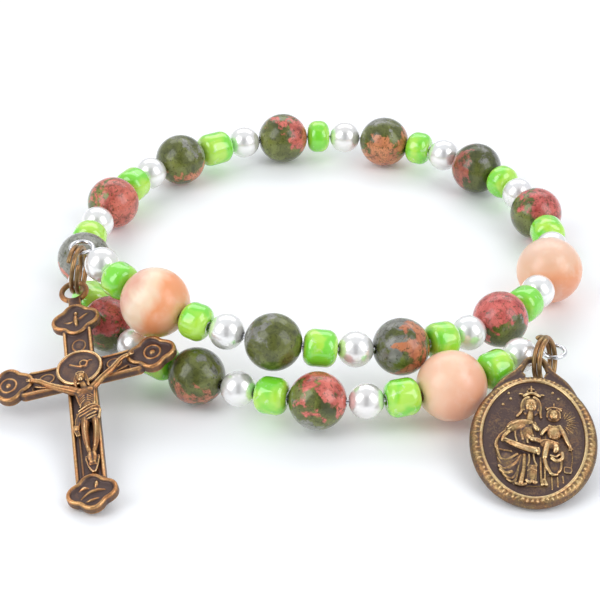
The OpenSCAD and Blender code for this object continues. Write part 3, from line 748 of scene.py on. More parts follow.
def sculpt_marks(bm):
    """Bird, rings and leaves on the lobes."""
    orb(bm, (0.06, 9.35, 1.2), (0.4, 1.2, 0.5))
    orb(bm, (0.1, 10.7, 1.24), (0.3, 0.42, 0.3))
    bend(bm, [(0.2, 9.3, 1.24, 0.26), (0.8, 9.6, 1.28, 0.24), (1.35, 10.05, 1.26, 0.2), (2.1, 10.5, 1.2, 0.08)])
    bend(bm, [(-0.1, 9.3, 1.24, 0.22), (-0.65, 9.1, 1.26, 0.2), (-1.15, 9.2, 1.24, 0.16), (-1.7, 9.5, 1.2, 0.07)])
    for side in (-1, 1):
        hoop(bm, (side * 10.15, -0.3), (1.12, 1.25), 1.24, 0.19, 24)
        orb(bm, (side * 10.15, -0.3, 1.22), (0.42, 0.46, 0.26))
    bend(bm, [(-1.5, -23.9, 1.2, 0.12), (-0.4, -23.2, 1.26, 0.27), (0.6, -23.0, 1.28, 0.3), (1.7, -23.1, 1.22, 0.14)])
    bend(bm, [(-1.7, -22.5, 1.2, 0.1), (-1.0, -22.25, 1.26, 0.32), (-0.4, -22.35, 1.22, 0.14)])
    bend(bm, [(0.5, -22.4, 1.2, 0.14), (0.7, -21.8, 1.28, 0.28), (0.75, -21.2, 1.22, 0.12)])
    bend(bm, [(-1.2, -24.7, 1.2, 0.12), (-0.2, -24.5, 1.26, 0.24), (0.8, -24.3, 1.22, 0.14)])


def sculpt_cross():
    bm = bmesh.new()
    for centre in ((0.0, 9.6), (-10.0, -0.3), (10.0, -0.3), (0.0, -23.0)):
        sculpt_lobe(bm, centre)
    sculpt_beams(bm)
    sculpt_halo(bm)
    sculpt_marks(bm)
    # Bail and its neck
    hoop(bm, (0.0, 16.22), (1.79, 1.79), 0.45, 0.4, 36, 2)
    slab(bm, [(-0.95, 12.3), (0.95, 12.3), (0.85, 14.6), (-0.85, 14.6)], 0.03, 0.86)
    return bm


def sculpt_arms(bm):
    """Arms, hands and fingers."""
    arms = (
        [(-0.3, -5.3, 1.75, 0.66), (-1.5, -4.6, 1.9, 0.62), (-2.9, -3.75, 1.95, 0.5), (-4.4, -2.6, 1.9, 0.4),
         (-5.5, -1.6, 1.85, 0.36), (-6.7, -0.9, 1.78, 0.28)],
        [(1.2, -5.3, 1.75, 0.62), (2.1, -4.5, 1.9, 0.52), (3.2, -3.4, 1.95, 0.42), (4.6, -2.2, 1.92, 0.36),
         (5.75, -0.85, 1.85, 0.3), (6.8, -0.3, 1.78, 0.25)])
    for side, arm in zip((-1, 1), arms):
        bend(bm, arm)
        bend(bm, [(x, y + 0.1, z + radius - 0.08, 0.14) for x, y, z, radius in arm[1:]])
        x, y = arm[-1][:2]
        orb(bm, (x + side * 0.3, y + 0.2, 1.74), (0.36, 0.27, 0.2), side * 35)
        for lift in (-0.14, 0.06, 0.26):
            limb(bm, [(x + side * 0.45, y + 0.2 + lift, 1.72, 0.1), (x + side * 0.85, y + 0.42 + lift, 1.62, 0.07)])


def sculpt_corpus_head(bm):
    """Neck, head, hair and a wound circlet."""
    limb(bm, [(0.25, -3.7, 1.95, 0.42), (0.5, -4.9, 1.8, 0.5)])
    orb(bm, (0.15, -2.95, 2.22), (0.66, 0.86, 0.6), -8)
    orb(bm, (0.12, -2.55, 2.05), (0.8, 0.8, 0.6))
    for side in (-1, 1):
        bend(bm, [(0.12 + side * 0.55, -2.4, 2.15, 0.26), (0.1 + side * 0.8, -3.1, 2.0, 0.27),
                  (0.15 + side * 0.85, -3.9, 1.92, 0.22), (0.3 + side * 0.9, -4.5, 1.85, 0.14)])
        bend(bm, [(0.12 + side * 0.45, -2.3, 2.4, 0.1), (0.1 + side * 0.68, -2.9, 2.3, 0.1),
                  (0.13 + side * 0.66, -3.6, 2.2, 0.08)])
        orb(bm, (0.15 + side * 0.24, -2.92, 2.72), (0.13, 0.06, 0.06))
        orb(bm, (0.15 + side * 0.24, -2.76, 2.7), (0.17, 0.05, 0.07), side * -8)
    hoop(bm, (0.14, -2.42), (0.56, 0.3), 2.56, 0.1, 14)
    limb(bm, [(0.15, -2.8, 2.76, 0.07), (0.15, -3.12, 2.86, 0.09)])
    orb(bm, (0.15, -3.33, 2.72), (0.17, 0.045, 0.07))
    orb(bm, (0.15, -3.6, 2.6), (0.36, 0.3, 0.24))


def sculpt_chest(bm):
    """Chest, ribs and belly."""
    orb(bm, (0.5, -5.7, 1.75), (1.45, 1.2, 0.72))
    orb(bm, (0.65, -7.4, 1.65), (1.0, 1.7, 0.66))
    for side in (-1, 1):
        orb(bm, (0.5 + side * 0.62, -5.5, 2.22), (0.62, 0.5, 0.24), side * 14)
        for row in range(4):
            sweep(bm, [(0.58 + side * 0.22, -6.15 - 0.4 * row), (0.6 + side * 0.75, -6.45 - 0.42 * row),
                       (0.6 + side * (1.12 - 0.05 * row), -7.0 - 0.42 * row)], (2.3, 2.0 - 0.03 * row), (0.1, 0.09), 3)
        sweep(bm, [(0.5 + side * 1.2, -5.2), (0.55 + side * 1.15, -6.4), (0.65 + side * 0.95, -7.8)], (1.95, 1.9), 0.22)
    orb(bm, (0.68, -8.0, 2.1), (0.55, 0.62, 0.22))


def sculpt_loincloth(bm):
    """Loincloth with its folds and its knot."""
    orb(bm, (0.85, -9.9, 1.75), (1.38, 1.3, 0.66), -8)
    folds = (
        ([(-0.55, -9.0), (0.5, -8.75), (1.5, -8.55), (2.25, -9.0)], 0.19),
        ([(-0.6, -9.45), (0.4, -9.35), (1.4, -8.95), (2.2, -8.9)], 0.16),
        ([(-0.5, -10.0), (0.6, -9.85), (1.5, -9.5), (2.25, -9.15)], 0.18),
        ([(-0.35, -10.55), (0.7, -10.4), (1.6, -10.1), (2.2, -9.6)], 0.16),
        ([(-0.15, -11.0), (0.75, -10.95), (1.5, -10.75), (2.05, -10.3)], 0.16),
        ([(0.3, -8.9), (1.2, -9.35), (2.1, -9.8), (2.15, -10.7)], 0.17),
        ([(2.15, -9.0), (2.35, -9.9), (2.15, -10.9), (1.75, -11.4)], 0.2))
    for path, thickness in folds:
        last = len(path) - 1
        bend(bm, [(x, y, 2.38 - 0.36 * abs(2 * i / last - 1) ** 2, thickness) for i, (x, y) in enumerate(path)])
    for shift in (-0.2, 0.05, 0.3):
        sweep(bm, [(-0.35 + shift, -9.4), (-0.85 + shift, -10.3), (-1.0 + shift, -11.1), (-1.25 + shift, -11.9),
                   (-1.05 + shift * 0.8, -12.9)], (1.95, 1.5), (0.2, 0.13))
    orb(bm, (-1.15, -11.6, 1.6), (0.48, 0.6, 0.34), 20)


def sculpt_legs(bm):
    """Legs, shins and feet on their rest."""
    legs = (
        [(0.15, -10.6, 1.8, 0.6), (0.1, -11.8, 2.0, 0.56), (0.02, -12.9, 2.1, 0.46), (0.05, -14.4, 1.9, 0.44),
         (0.15, -15.7, 1.75, 0.32), (0.35, -16.7, 1.7, 0.28)],
        [(1.45, -10.6, 1.8, 0.58), (1.6, -11.8, 2.0, 0.54), (1.55, -13.0, 2.1, 0.44), (1.35, -14.5, 1.9, 0.42),
         (1.1, -15.7, 1.75, 0.31), (0.85, -16.7, 1.7, 0.27)])
    for leg in legs:
        bend(bm, leg)
        bend(bm, [(x, y, z + radius - 0.07, 0.16) for x, y, z, radius in leg[1:5]])
    bend(bm, [(0.35, -16.7, 1.75, 0.32), (0.3, -17.5, 1.9, 0.34), (0.45, -18.4, 1.85, 0.26)])
    bend(bm, [(0.85, -16.7, 1.75, 0.3), (0.95, -17.5, 1.82, 0.32), (0.8, -18.4, 1.78, 0.25)])
    for x in (0.15, 0.35, 0.55, 0.75, 0.95):
        limb(bm, [(x, -18.3, 1.8, 0.12), (0.6 + 0.9 * (x - 0.55), -18.75, 1.74, 0.1)])
    slab(bm, [(-0.35, -16.9), (1.5, -17.1), (1.55, -17.6), (1.15, -19.2), (0.75, -20.0), (0.35, -19.9), (-0.05, -18.9),
              (-0.45, -17.5)], 0.9, 1.62)
    sweep(bm, [(-0.3, -17.4), (0.0, -18.9), (0.45, -19.8), (0.8, -19.8), (1.1, -19.1), (1.45, -17.5)], 1.6, 0.13)


def sculpt_corpus():
    bm = bmesh.new()
    sculpt_arms(bm)
    sculpt_corpus_head(bm)
    sculpt_chest(bm)
    sculpt_loincloth(bm)
    sculpt_legs(bm)
    return bm


# Medal


def sculpt_medal():
    bm = bmesh.new()
    slab(bm, oval((0, 0), (8.0, 10.4)), 0.06, 1.4)
    hoop(bm, (0, 0), (7.72, 10.12), 0.86, 0.82, 96, 2)
    band(bm, oval((0, 0), (6.9, 9.75)), oval((0, 0), (7.9, 10.3)), 0.3, 1.66)
    hoop(bm, (0, 0), (7.02, 9.86), 1.58, 0.24, 96, 2)
    # Strokes and pellets along the middle of the band
    wide, tall, count = 7.58, 10.22, 74
    for i in range(count):
        angle = math.tau * (i + 0.5) / count
        x, y = wide * math.cos(angle), tall * math.sin(angle)
        out = Vector((x / wide ** 2, y / tall ** 2)).normalized()
        if i % 5 == 3:
            orb(bm, (x, y, 1.66), (0.17, 0.17, 0.12))
        else:
            lean = Vector((out.y, -out.x)) * (0.05, -0.06, 0.16, 0.0, 0.02)[i % 5]
            reach = (0.2, 0.3, 0.12, 0.0, 0.26)[i % 5]
            limb(bm, [(x - out.x * reach - lean.x, y - out.y * reach - lean.y, 1.65, 0.1),
                      (x + out.x * reach + lean.x, y + out.y * reach + lean.y, 1.65, 0.1)])
    # Bail
    for side in (-1, 1):
        bend(bm, [(side * 5.4, 8.0, 0.88, 0.45), (side * 4.7, 9.2, 0.9, 0.5), (side * 3.95, 10.2, 0.9, 0.54),
                  (side * 2.95, 11.1, 0.92, 0.54), (side * 2.05, 12.1, 0.94, 0.5), (side * 1.62, 13.0, 0.94, 0.46),
                  (side * 1.05, 13.95, 0.92, 0.46), (0.0, 14.33, 0.9, 0.48)], fine=2)
        slab(bm, [(side * x, y) for x, y in (
            (4.5, 8.8), (4.2, 9.8), (3.3, 10.9), (2.3, 11.9), (1.75, 11.7), (1.25, 11.2), (1.3, 10.5))], 0.45, 1.3)
        sweep(bm, [(side * 4.3, 9.85), (side * 3.5, 10.85), (side * 2.55, 11.75), (side * 1.9, 12.7)],
              (1.3, 1.38), 0.16)
    return bm


def sculpt_gown(bm, z):
    """Gown, cloak and cape."""
    slab(bm, [(-1.3, 2.9), (-3.3, 2.3), (-4.2, 0.8), (-5.0, -0.5), (-5.15, -1.9), (-4.8, -3.6), (-4.5, -5.2),
              (-3.8, -6.7), (-2.3, -7.9), (0.2, -7.9), (1.8, -7.7), (1.9, -5.9), (1.6, -3.4), (1.0, -0.9),
              (0.9, 1.7), (0.3, 2.7)],
         z - 0.3, z + 0.1)
    orb(bm, (-1.25, 0.9, z), (1.75, 2.1, 0.42))
    orb(bm, (-2.1, 1.75, z + 0.16), (1.7, 0.85, 0.62), 26)
    orb(bm, (-0.95, 0.9, z + 0.12), (1.0, 1.5, 0.5), 6)
    orb(bm, (-3.4, -4.6, z), (1.2, 2.4, 0.34), 8)
    orb(bm, (-1.0, -4.8, z - 0.05), (1.6, 3.3, 0.34), 4)
    # Cape
    for path, thickness in (
            ([(-0.3, 2.45, 0.2), (-1.5, 2.4, 0.34), (-2.6, 2.0, 0.34), (-3.4, 1.2, 0.22)], 0.5),
            ([(-0.8, 2.1, 0.2), (-1.7, 1.95, 0.3), (-2.6, 1.5, 0.28), (-3.3, 0.8, 0.15)], 0.42),
            ([(-1.2, 2.75, 0.1), (-2.2, 2.65, 0.2), (-3.2, 2.1, 0.2), (-3.8, 1.0, 0.1)], 0.32)):
        bend(bm, [
            (x, y, z + lift, thickness * (1.0, 1.0, 0.9, 0.6)[i]) for i, (x, y, lift) in enumerate(path)])
    sweep(bm, [(-0.6, 2.15), (-1.6, 2.05), (-2.6, 1.65), (-3.5, 0.9)], z + 0.62, 0.1)
    sweep(bm, [(-1.0, 2.6), (-1.9, 2.55), (-2.9, 2.1), (-3.6, 1.3)], z + 0.58, 0.1)
    sweep(bm, [(-3.8, 0.9), (-4.55, 0.05), (-4.95, -1.1), (-4.75, -1.95)], z + 0.12, (0.26, 0.2))
    sweep(bm, [(-3.3, 0.9), (-3.9, 0.1), (-4.1, -0.7)], z + 0.22, (0.3, 0.34))
    # Folds of the chest
    for path, thickness in (
            ([(-1.8, 1.3), (-1.65, 0.4), (-1.45, -0.4)], 0.2), ([(-0.95, 1.9), (-1.0, 0.5), (-0.8, -0.9)], 0.16),
            ([(-2.5, 1.0), (-2.45, 0.1), (-2.25, -0.8)], 0.15), ([(-0.4, 1.9), (-0.35, 1.0), (-0.1, 0.2)], 0.14)):
        sweep(bm, path, z + 0.36, thickness, 3)


def sculpt_sleeves(bm, z):
    """Sleeve that carries the child, and both hands."""
    bend(bm, [(-3.85, -0.75, z + 0.28, 0.2), (-2.9, -1.25, z + 0.42, 0.34), (-1.45, -1.85, z + 0.48, 0.44),
              (0.3, -2.35, z + 0.46, 0.5)])
    sweep(bm, [(-3.85, -0.65), (-2.9, -1.05), (-1.45, -1.6), (0.35, -2.0)], z + 0.66, (0.12, 0.18))
    sweep(bm, [(-3.2, -1.45), (-1.6, -2.15), (0.3, -2.7)], z + 0.56, (0.1, 0.14))
    sweep(bm, [(0.6, -1.85), (0.72, -2.35), (0.6, -2.85)], z + 0.5, 0.2, 3)
    # Lower hand on the child
    orb(bm, (-0.05, -0.45, z + 0.5), (0.5, 0.36, 0.28), -10)
    for lift in (-0.22, 0.0, 0.22):
        limb(bm, [(0.15, -0.45 + lift, z + 0.56, 0.13), (0.8, -0.58 + lift * 1.2, z + 0.5, 0.1)])
    bend(bm, [(-0.9, 0.3, z + 0.36, 0.26), (-0.45, -0.2, z + 0.46, 0.26)])
    # Raised hand
    bend(bm, [(-0.15, 2.2, z + 0.36, 0.2), (0.1, 1.7, z + 0.46, 0.3), (0.45, 1.3, z + 0.42, 0.34)])
    for x in (-0.2, 0.02, 0.24):
        limb(bm, [(x, 2.05, z + 0.42, 0.11), (x - 0.08, 2.6, z + 0.38, 0.09)])


def sculpt_folds(bm, z):
    """Folds of the gown's lower part, its hem and its tab."""
    for path, thickness in (
            ([(-4.9, -0.5), (-5.05, -1.6), (-4.55, -2.2), (-2.9, -2.45)], 0.18),
            ([(-4.8, -2.2), (-4.35, -3.6), (-3.5, -3.85), (-2.1, -2.8)], 0.22),
            ([(-4.7, -3.6), (-4.1, -4.6), (-3.2, -4.5), (-2.0, -3.3)], 0.14),
            ([(-4.5, -4.9), (-3.75, -5.4), (-2.4, -4.4), (-1.65, -3.0)], 0.24),
            ([(-3.9, -6.2), (-3.1, -6.85), (-2.45, -6.5), (-1.9, -5.0), (-1.65, -3.2)], 0.2),
            ([(-3.4, -7.0), (-2.7, -7.4), (-2.2, -6.8)], 0.16),
            ([(-4.3, -5.5), (-3.6, -6.1), (-2.8, -5.8)], 0.3)):
        sweep(bm, path, z + 0.16, thickness)
    # Straight folds, the hem and the scapular with its tab
    for path, thickness in (
            ([(-1.2, -2.9), (-1.25, -5.3), (-1.6, -7.6)], (0.28, 0.42)),
            ([(-1.9, -4.8), (-2.1, -6.5), (-2.3, -7.6)], 0.18),
            ([(-0.75, -3.2), (-0.8, -4.6)], 0.14), ([(0.95, -3.3), (1.0, -5.5), (1.1, -7.3)], 0.18),
            ([(1.5, -4.0), (1.55, -6.0), (1.5, -7.3)], 0.18)):
        sweep(bm, path, z + 0.2, thickness)
    sweep(bm, [(-2.2, -7.7), (-1.5, -7.85), (-0.9, -7.65)], z + 0.24, 0.2)
    bend(bm, [(1.2, -7.6, z + 0.16, 0.26), (1.42, -6.8, z + 0.22, 0.24), (1.75, -7.55, z + 0.16, 0.28)])
    sweep(bm, [(-0.6, -2.9), (-0.55, -3.9), (-0.72, -4.7)], z + 0.34, 0.15)
    sweep(bm, [(0.0, -2.85), (0.12, -3.8), (0.45, -4.6)], z + 0.34, 0.15)
    slab(bm, [(-0.72, -4.65), (0.5, -4.55), (0.42, -7.5), (-0.84, -7.3)], z, z + 0.46)
    orb(bm, (-0.15, -6.0, z + 0.4), (0.5, 1.3, 0.2))
    sweep(bm, [(-0.7, -5.6), (-0.2, -5.45), (0.4, -5.5)], z + 0.46, 0.14)
    sweep(bm, [(-0.9, -7.2), (-0.5, -7.5), (-0.1, -7.25), (0.2, -7.55), (0.45, -7.4)], z + 0.42, 0.22)


def sculpt_veiled_head(bm, z):
    """Neck, veil, head and crown."""
    limb(bm, [(-0.5, 4.4, z + 0.2, 0.42), (-0.6, 2.9, z + 0.14, 0.55)])
    orb(bm, (-0.46, 5.45, z + 0.02), (1.42, 1.75, 0.4))
    orb(bm, (-0.47, 5.45, z + 0.28), (0.92, 1.2, 0.6), 3)
    for side in (-1, 1):
        bend(bm, [(-0.46 + side * 0.35, 6.75, z + 0.42, 0.24), (-0.46 + side * 0.95, 6.3, z + 0.34, 0.24),
                  (-0.46 + side * 1.25, 5.4, z + 0.26, 0.22), (-0.46 + side * 1.25, 4.5, z + 0.2, 0.2),
                  (-0.7 + side * 1.6, 3.6, z + 0.16, 0.18)])
        bend(bm, [(-0.46 + side * 0.75, 6.1, z + 0.46, 0.11), (-0.46 + side * 0.98, 5.4, z + 0.4, 0.11),
                  (-0.46 + side * 0.9, 4.6, z + 0.34, 0.1)])
        orb(bm, (-0.47 + side * 0.34, 5.52, z + 0.82), (0.17, 0.08, 0.07))
        orb(bm, (-0.47 + side * 0.35, 5.74, z + 0.82), (0.24, 0.06, 0.07), side * -8)
        orb(bm, (-0.47 + side * 0.43, 5.12, z + 0.66), (0.3, 0.28, 0.18))
    limb(bm, [(-0.47, 5.65, z + 0.86, 0.1), (-0.47, 5.22, z + 0.97, 0.14)])
    orb(bm, (-0.47, 4.9, z + 0.84), (0.24, 0.08, 0.08))
    orb(bm, (-0.47, 4.56, z + 0.68), (0.32, 0.22, 0.2))
    sweep(bm, [(-1.45, 7.0), (-0.97, 7.35), (-0.45, 7.5), (0.15, 7.38), (0.65, 7.05)], z + 0.36, 0.22)
    sweep(bm, [(-1.3, 7.3), (-0.85, 7.65), (-0.45, 7.75), (0.0, 7.65), (0.5, 7.3)], z + 0.26, 0.13)
    limb(bm, [(-0.45, 7.7, z + 0.24, 0.18), (-0.47, 8.95, z + 0.14, 0.11)])
    limb(bm, [(-0.8, 8.35, z + 0.18, 0.13), (-0.13, 8.38, z + 0.18, 0.13)])
    for side in (-1, 1):
        bend(bm, [(-0.42 + side * 0.95, 7.1, z + 0.3, 0.17), (-0.4 + side * 1.3, 7.4, z + 0.24, 0.15),
                  (-0.4 + side * 1.65, 7.5, z + 0.16, 0.12)])
        orb(bm, (-0.43 + side * 0.55, 7.85, z + 0.22), (0.16, 0.2, 0.16))


def sculpt_tunic(bm, z):
    """The child's tunic, arms and lap cloth."""
    orb(bm, (2.7, 1.1, z + 0.2), (1.0, 1.3, 0.52))
    orb(bm, (2.1, -1.0, z + 0.16), (1.35, 0.8, 0.5), -8)
    orb(bm, (2.9, -4.1, z), (0.95, 1.5, 0.3))
    slab(bm, [(1.7, 2.0), (3.6, 2.1), (3.4, 0.4), (3.1, -1.2), (3.8, -3.4), (3.6, -5.4), (2.0, -6.0), (1.1, -3.6),
              (1.3, -0.8)],
         z - 0.3, z + 0.1)
    sweep(bm, [(1.95, 2.1), (2.65, 1.85), (3.45, 2.15)], z + 0.5, 0.15, 3)
    for path in ([(2.15, 1.7), (2.2, 0.8), (2.15, 0.1)], [(2.75, 1.6), (2.8, 0.8), (2.7, 0.0)],
                 [(3.2, 1.5), (3.2, 0.8), (3.05, 0.1)]):
        sweep(bm, path, z + 0.48, 0.13, 3)
    bend(bm, [(3.35, 2.05, z + 0.3, 0.36), (3.95, 0.85, z + 0.34, 0.32), (4.45, -0.4, z + 0.28, 0.27),
              (4.8, -1.0, z + 0.2, 0.24)])
    for x, y in ((4.7, -1.6), (4.95, -1.65), (5.15, -1.45)):
        limb(bm, [(4.78, -1.0, z + 0.2, 0.16), (x, y, z + 0.12, 0.1)])
    bend(bm, [(1.85, 1.8, z + 0.28, 0.3), (1.3, 1.2, z + 0.36, 0.26), (1.0, 0.6, z + 0.36, 0.22)])
    # Cloth across the lap
    for path, thickness in (
            ([(0.85, -0.6), (1.75, -0.4), (3.15, -0.8)], 0.24), ([(1.2, -0.95), (2.1, -0.8), (3.1, -1.15)], 0.18),
            ([(2.4, -3.3), (3.05, -3.75), (3.8, -3.2), (3.75, -2.3)], 0.27),
            ([(2.2, -2.8), (2.9, -3.0), (3.4, -2.6)], 0.15)):
        sweep(bm, path, z + 0.36, thickness)


def sculpt_child_legs(bm, z):
    """Legs and feet."""
    bend(bm, [(1.85, -0.8, z + 0.28, 0.5), (1.58, -2.2, z + 0.42, 0.44), (1.45, -3.3, z + 0.42, 0.38)])
    bend(bm, [(1.45, -3.6, z + 0.34, 0.3), (1.75, -4.7, z + 0.28, 0.3), (2.2, -5.5, z + 0.24, 0.26)])
    bend(bm, [(2.2, -5.6, z + 0.22, 0.24), (2.6, -5.85, z + 0.2, 0.24), (3.2, -5.75, z + 0.16, 0.16)])
    bend(bm, [(2.75, -0.8, z + 0.24, 0.4), (2.98, -1.6, z + 0.4, 0.46), (2.85, -2.1, z + 0.32, 0.36)])
    bend(bm, [(3.65, -3.7, z + 0.22, 0.22), (3.6, -4.9, z + 0.18, 0.2), (3.2, -5.5, z + 0.14, 0.18)])


def sculpt_child_head(bm, z):
    """Head, hair and crown."""
    orb(bm, (2.58, 4.15, z + 0.08), (1.0, 1.12, 0.36))
    orb(bm, (2.58, 4.05, z + 0.28), (0.68, 0.88, 0.5))
    for side in (-1, 1):
        bend(bm, [(2.58 + side * 0.35, 4.85, z + 0.36, 0.18), (2.58 + side * 0.76, 4.4, z + 0.3, 0.2),
                  (2.58 + side * 0.82, 3.7, z + 0.24, 0.17)])
        orb(bm, (2.58 + side * 0.24, 4.12, z + 0.73), (0.12, 0.06, 0.05))
        orb(bm, (2.58 + side * 0.24, 4.27, z + 0.73), (0.16, 0.05, 0.05), side * -8)
        orb(bm, (2.58 + side * 0.3, 3.82, z + 0.6), (0.21, 0.19, 0.13))
    limb(bm, [(2.58, 4.2, z + 0.76, 0.08), (2.58, 3.9, z + 0.83, 0.11)])
    orb(bm, (2.58, 3.64, z + 0.74), (0.16, 0.06, 0.06))
    orb(bm, (2.58, 3.4, z + 0.6), (0.22, 0.15, 0.14))
    sweep(bm, [(1.72, 4.95), (2.12, 5.2), (2.6, 5.28), (3.1, 5.18), (3.55, 4.9)], z + 0.3, 0.18)
    sweep(bm, [(1.75, 5.2), (2.6, 5.5), (3.6, 5.1)], z + 0.22, 0.1)
    limb(bm, [(2.6, 5.3, z + 0.22, 0.15), (2.62, 6.15, z + 0.12, 0.1)])
    for side in (-1, 1):
        limb(bm, [(2.6 + side * 0.7, 5.2, z + 0.24, 0.14), (2.62 + side * 1.12, 5.4, z + 0.12, 0.1)])


def sculpt_tabs(bm, z):
    """String with its tab, and the other hanging tab."""
    sweep(bm, [(5.05, -1.8), (5.15, -3.0), (5.0, -4.3)], z, 0.1)
    slab(bm, [(4.1, -4.35), (5.05, -4.45), (5.0, -5.4), (4.1, -5.3)], z - 0.3, z + 0.14)
    sweep(bm, [(4.12, -4.45), (5.0, -4.55), (4.92, -5.35), (4.12, -5.25), (4.12, -4.45)], z + 0.13, 0.1, 2)


def sculpt_relief():
    bm = bmesh.new()
    z = 1.4
    sculpt_gown(bm, z)
    sculpt_sleeves(bm, z)
    sculpt_folds(bm, z)
    sculpt_veiled_head(bm, z)
    sculpt_tunic(bm, z)
    sculpt_child_legs(bm, z)
    sculpt_child_head(bm, z)
    sculpt_tabs(bm, z)
    # Stars, rays and the ground below
    for x, y in ((-3.5, 7.6), (-3.2, 6.65), (2.45, 8.1), (3.2, 7.1), (-4.2, 5.6)):
        orb(bm, (x, y, z - 0.02), (0.22, 0.22, 0.22))
    for i in range(11):
        angle = math.radians(-58 + 13 * i)
        near, far = (0.9, 2.3) if i % 2 else (1.15, 1.95)
        limb(bm, [(3.6 + near * math.cos(angle), 3.0 + near * math.sin(angle), z, 0.1),
                  (3.6 + far * math.cos(angle), 3.0 + far * math.sin(angle), z - 0.02, 0.07)])
    for x, top, foot in ((2.45, -6.2, -8.1), (3.2, -6.1, -7.6), (3.9, -5.9, -6.9)):
        limb(bm, [(x, top, z, 0.14), (x + 0.1, foot, z - 0.02, 0.13)])
    return bm


# Operators


class BRACELET_OT_stones(bpy.types.Operator):
    """Make the round unakite beads"""
    bl_idname = "bracelet.stones"
    bl_label = "Unakite Beads"

    def execute(self, context):
        sizes, colours = context.scene.bracelet_sizes, context.scene.bracelet_colours
        make_round_beads(
            "S", "unakite", lambda bead: stone_material(bead["number"], bead["centre"], colours),
            sizes.stone_bore, sizes.segments)
        return {"FINISHED"}


class BRACELET_OT_corals(bpy.types.Operator):
    """Make the peach coral beads"""
    bl_idname = "bracelet.corals"
    bl_label = "Coral Beads"

    def execute(self, context):
        sizes = context.scene.bracelet_sizes
        make_round_beads(
            "C", "coral", lambda bead: coral_material(bead["number"], bead["centre"]),
            sizes.coral_bore, sizes.segments)
        return {"FINISHED"}


class BRACELET_OT_pearls(bpy.types.Operator):
    """Make the pearls"""
    bl_idname = "bracelet.pearls"
    bl_label = "Pearls"

    def execute(self, context):
        sizes = context.scene.bracelet_sizes
        coat = pearl_material(context.scene.bracelet_colours)
        make_round_beads("P", "pearl", lambda bead: coat, sizes.stone_bore, sizes.segments)
        return {"FINISHED"}


class BRACELET_OT_glass(bpy.types.Operator):
    """Make the green glass beads"""
    bl_idname = "bracelet.glass"
    bl_label = "Glass Beads"

    def execute(self, context):
        sizes = context.scene.bracelet_sizes
        bm = bmesh.new()
        for bead in string_beads():
            if bead["kind"] == "G":
                profile = barrel_profile(bead, sizes.stone_bore, sizes.glass_round)
                spin_bead(bm, bead, profile, sizes.segments)
        bmesh.ops.recalc_face_normals(bm, faces=bm.faces)
        finish_piece(
            "glass_beads_looks", bm, glass_material(context.scene.bracelet_colours), "glass_beads")
        return {"FINISHED"}


class BRACELET_OT_wire(bpy.types.Operator):
    """Make the spring wire and the two split rings"""
    bl_idname = "bracelet.wire"
    bl_label = "Wire and Rings"

    def execute(self, context):
        colours = context.scene.bracelet_colours
        smooth_copy("wire", "wire_looks", wire_material())
        copper = antique_material("ring_copper", colours.patina, colours.brass, 0.2, 0.5, 0.2)
        smooth_copy("crucifix_ring", "crucifix_ring_looks", copper)
        smooth_copy("medal_ring", "medal_ring_looks", copper)
        return {"FINISHED"}


class BRACELET_OT_crucifix(bpy.types.Operator):
    """Make the cross and the figure on it"""
    bl_idname = "bracelet.crucifix"
    bl_label = "Crucifix"

    def execute(self, context):
        sizes, colours = context.scene.bracelet_pendants, context.scene.bracelet_colours
        place = pendant_place(sizes.cross_place, sizes.cross_turn)
        metal = antique_material("cross_bronze", colours.patina, colours.copper, 0.26, 0.45, 0.4)
        cast("crucifix_looks", sculpt_cross(), sizes.cross_skin, place, metal,
             (1.0, 2.0, 0.12), 11.0, "crucifix")
        cast("corpus_looks", sculpt_corpus(), sizes.figure_skin, place, metal, (1.4, 2.6, 0.2), 10.0)
        return {"FINISHED"}


class BRACELET_OT_medal(bpy.types.Operator):
    """Make the oval medal and its picture"""
    bl_idname = "bracelet.medal"
    bl_label = "Medal"

    def execute(self, context):
        sizes, colours = context.scene.bracelet_pendants, context.scene.bracelet_colours
        place = pendant_place(sizes.medal_place, sizes.medal_turn)
        metal = antique_material("medal_bronze", colours.patina, colours.brass, 0.28, 0.8, 0.9)
        cast("medal_looks", sculpt_medal(), sizes.medal_skin, place, metal,
             (1.42, 1.75, 0.45), 8.0, "medal")
        cast("medal_relief_looks", sculpt_relief(), sizes.figure_skin, place, metal,
             (1.45, 2.15, 0.4), 5.0)
        return {"FINISHED"}


class BRACELET_OT_stage(bpy.types.Operator):
    """Make the floor, the lights and the camera"""
    bl_idname = "bracelet.stage"
    bl_label = "Stage"

    def execute(self, context):
        scene = context.scene
        scene.view_settings.view_transform = "Standard"
        make_floor()
        make_lights(scene)
        make_camera(scene, scene.bracelet_camera)
        return {"FINISHED"}


def make_floor():
    bm = bmesh.new()
    bmesh.ops.create_grid(bm, x_segments=1, y_segments=1, size=3.0)
    mesh = bpy.data.meshes.new("floor")
    bm.to_mesh(mesh)
    bm.free()
    floor = bpy.data.objects.new("floor", mesh)
    bpy.context.collection.objects.link(floor)
    material = new_material("white_table", Roughness=0.55, Emission_Strength=0.06)[0]
    shader = material.node_tree.nodes["Principled BSDF"]
    shader.inputs["Base Color"].default_value = (0.91, 0.92, 0.94, 1.0)
    shader.inputs["Emission Color"].default_value = (0.94, 0.96, 1.0, 1.0)
    mesh.materials.append(material)


def area_light(name, place, size, power):
    """Soft box that points at the middle of the bracelet."""
    data = bpy.data.lights.new(name, "AREA")
    data.shape = "RECTANGLE"
    data.size, data.size_y = size
    data.energy = power
    lamp = bpy.data.objects.new(name, data)
    bpy.context.collection.objects.link(lamp)
    lamp.location = place
    lamp.rotation_euler = (-Vector(place)).to_track_quat("-Z", "Y").to_euler()


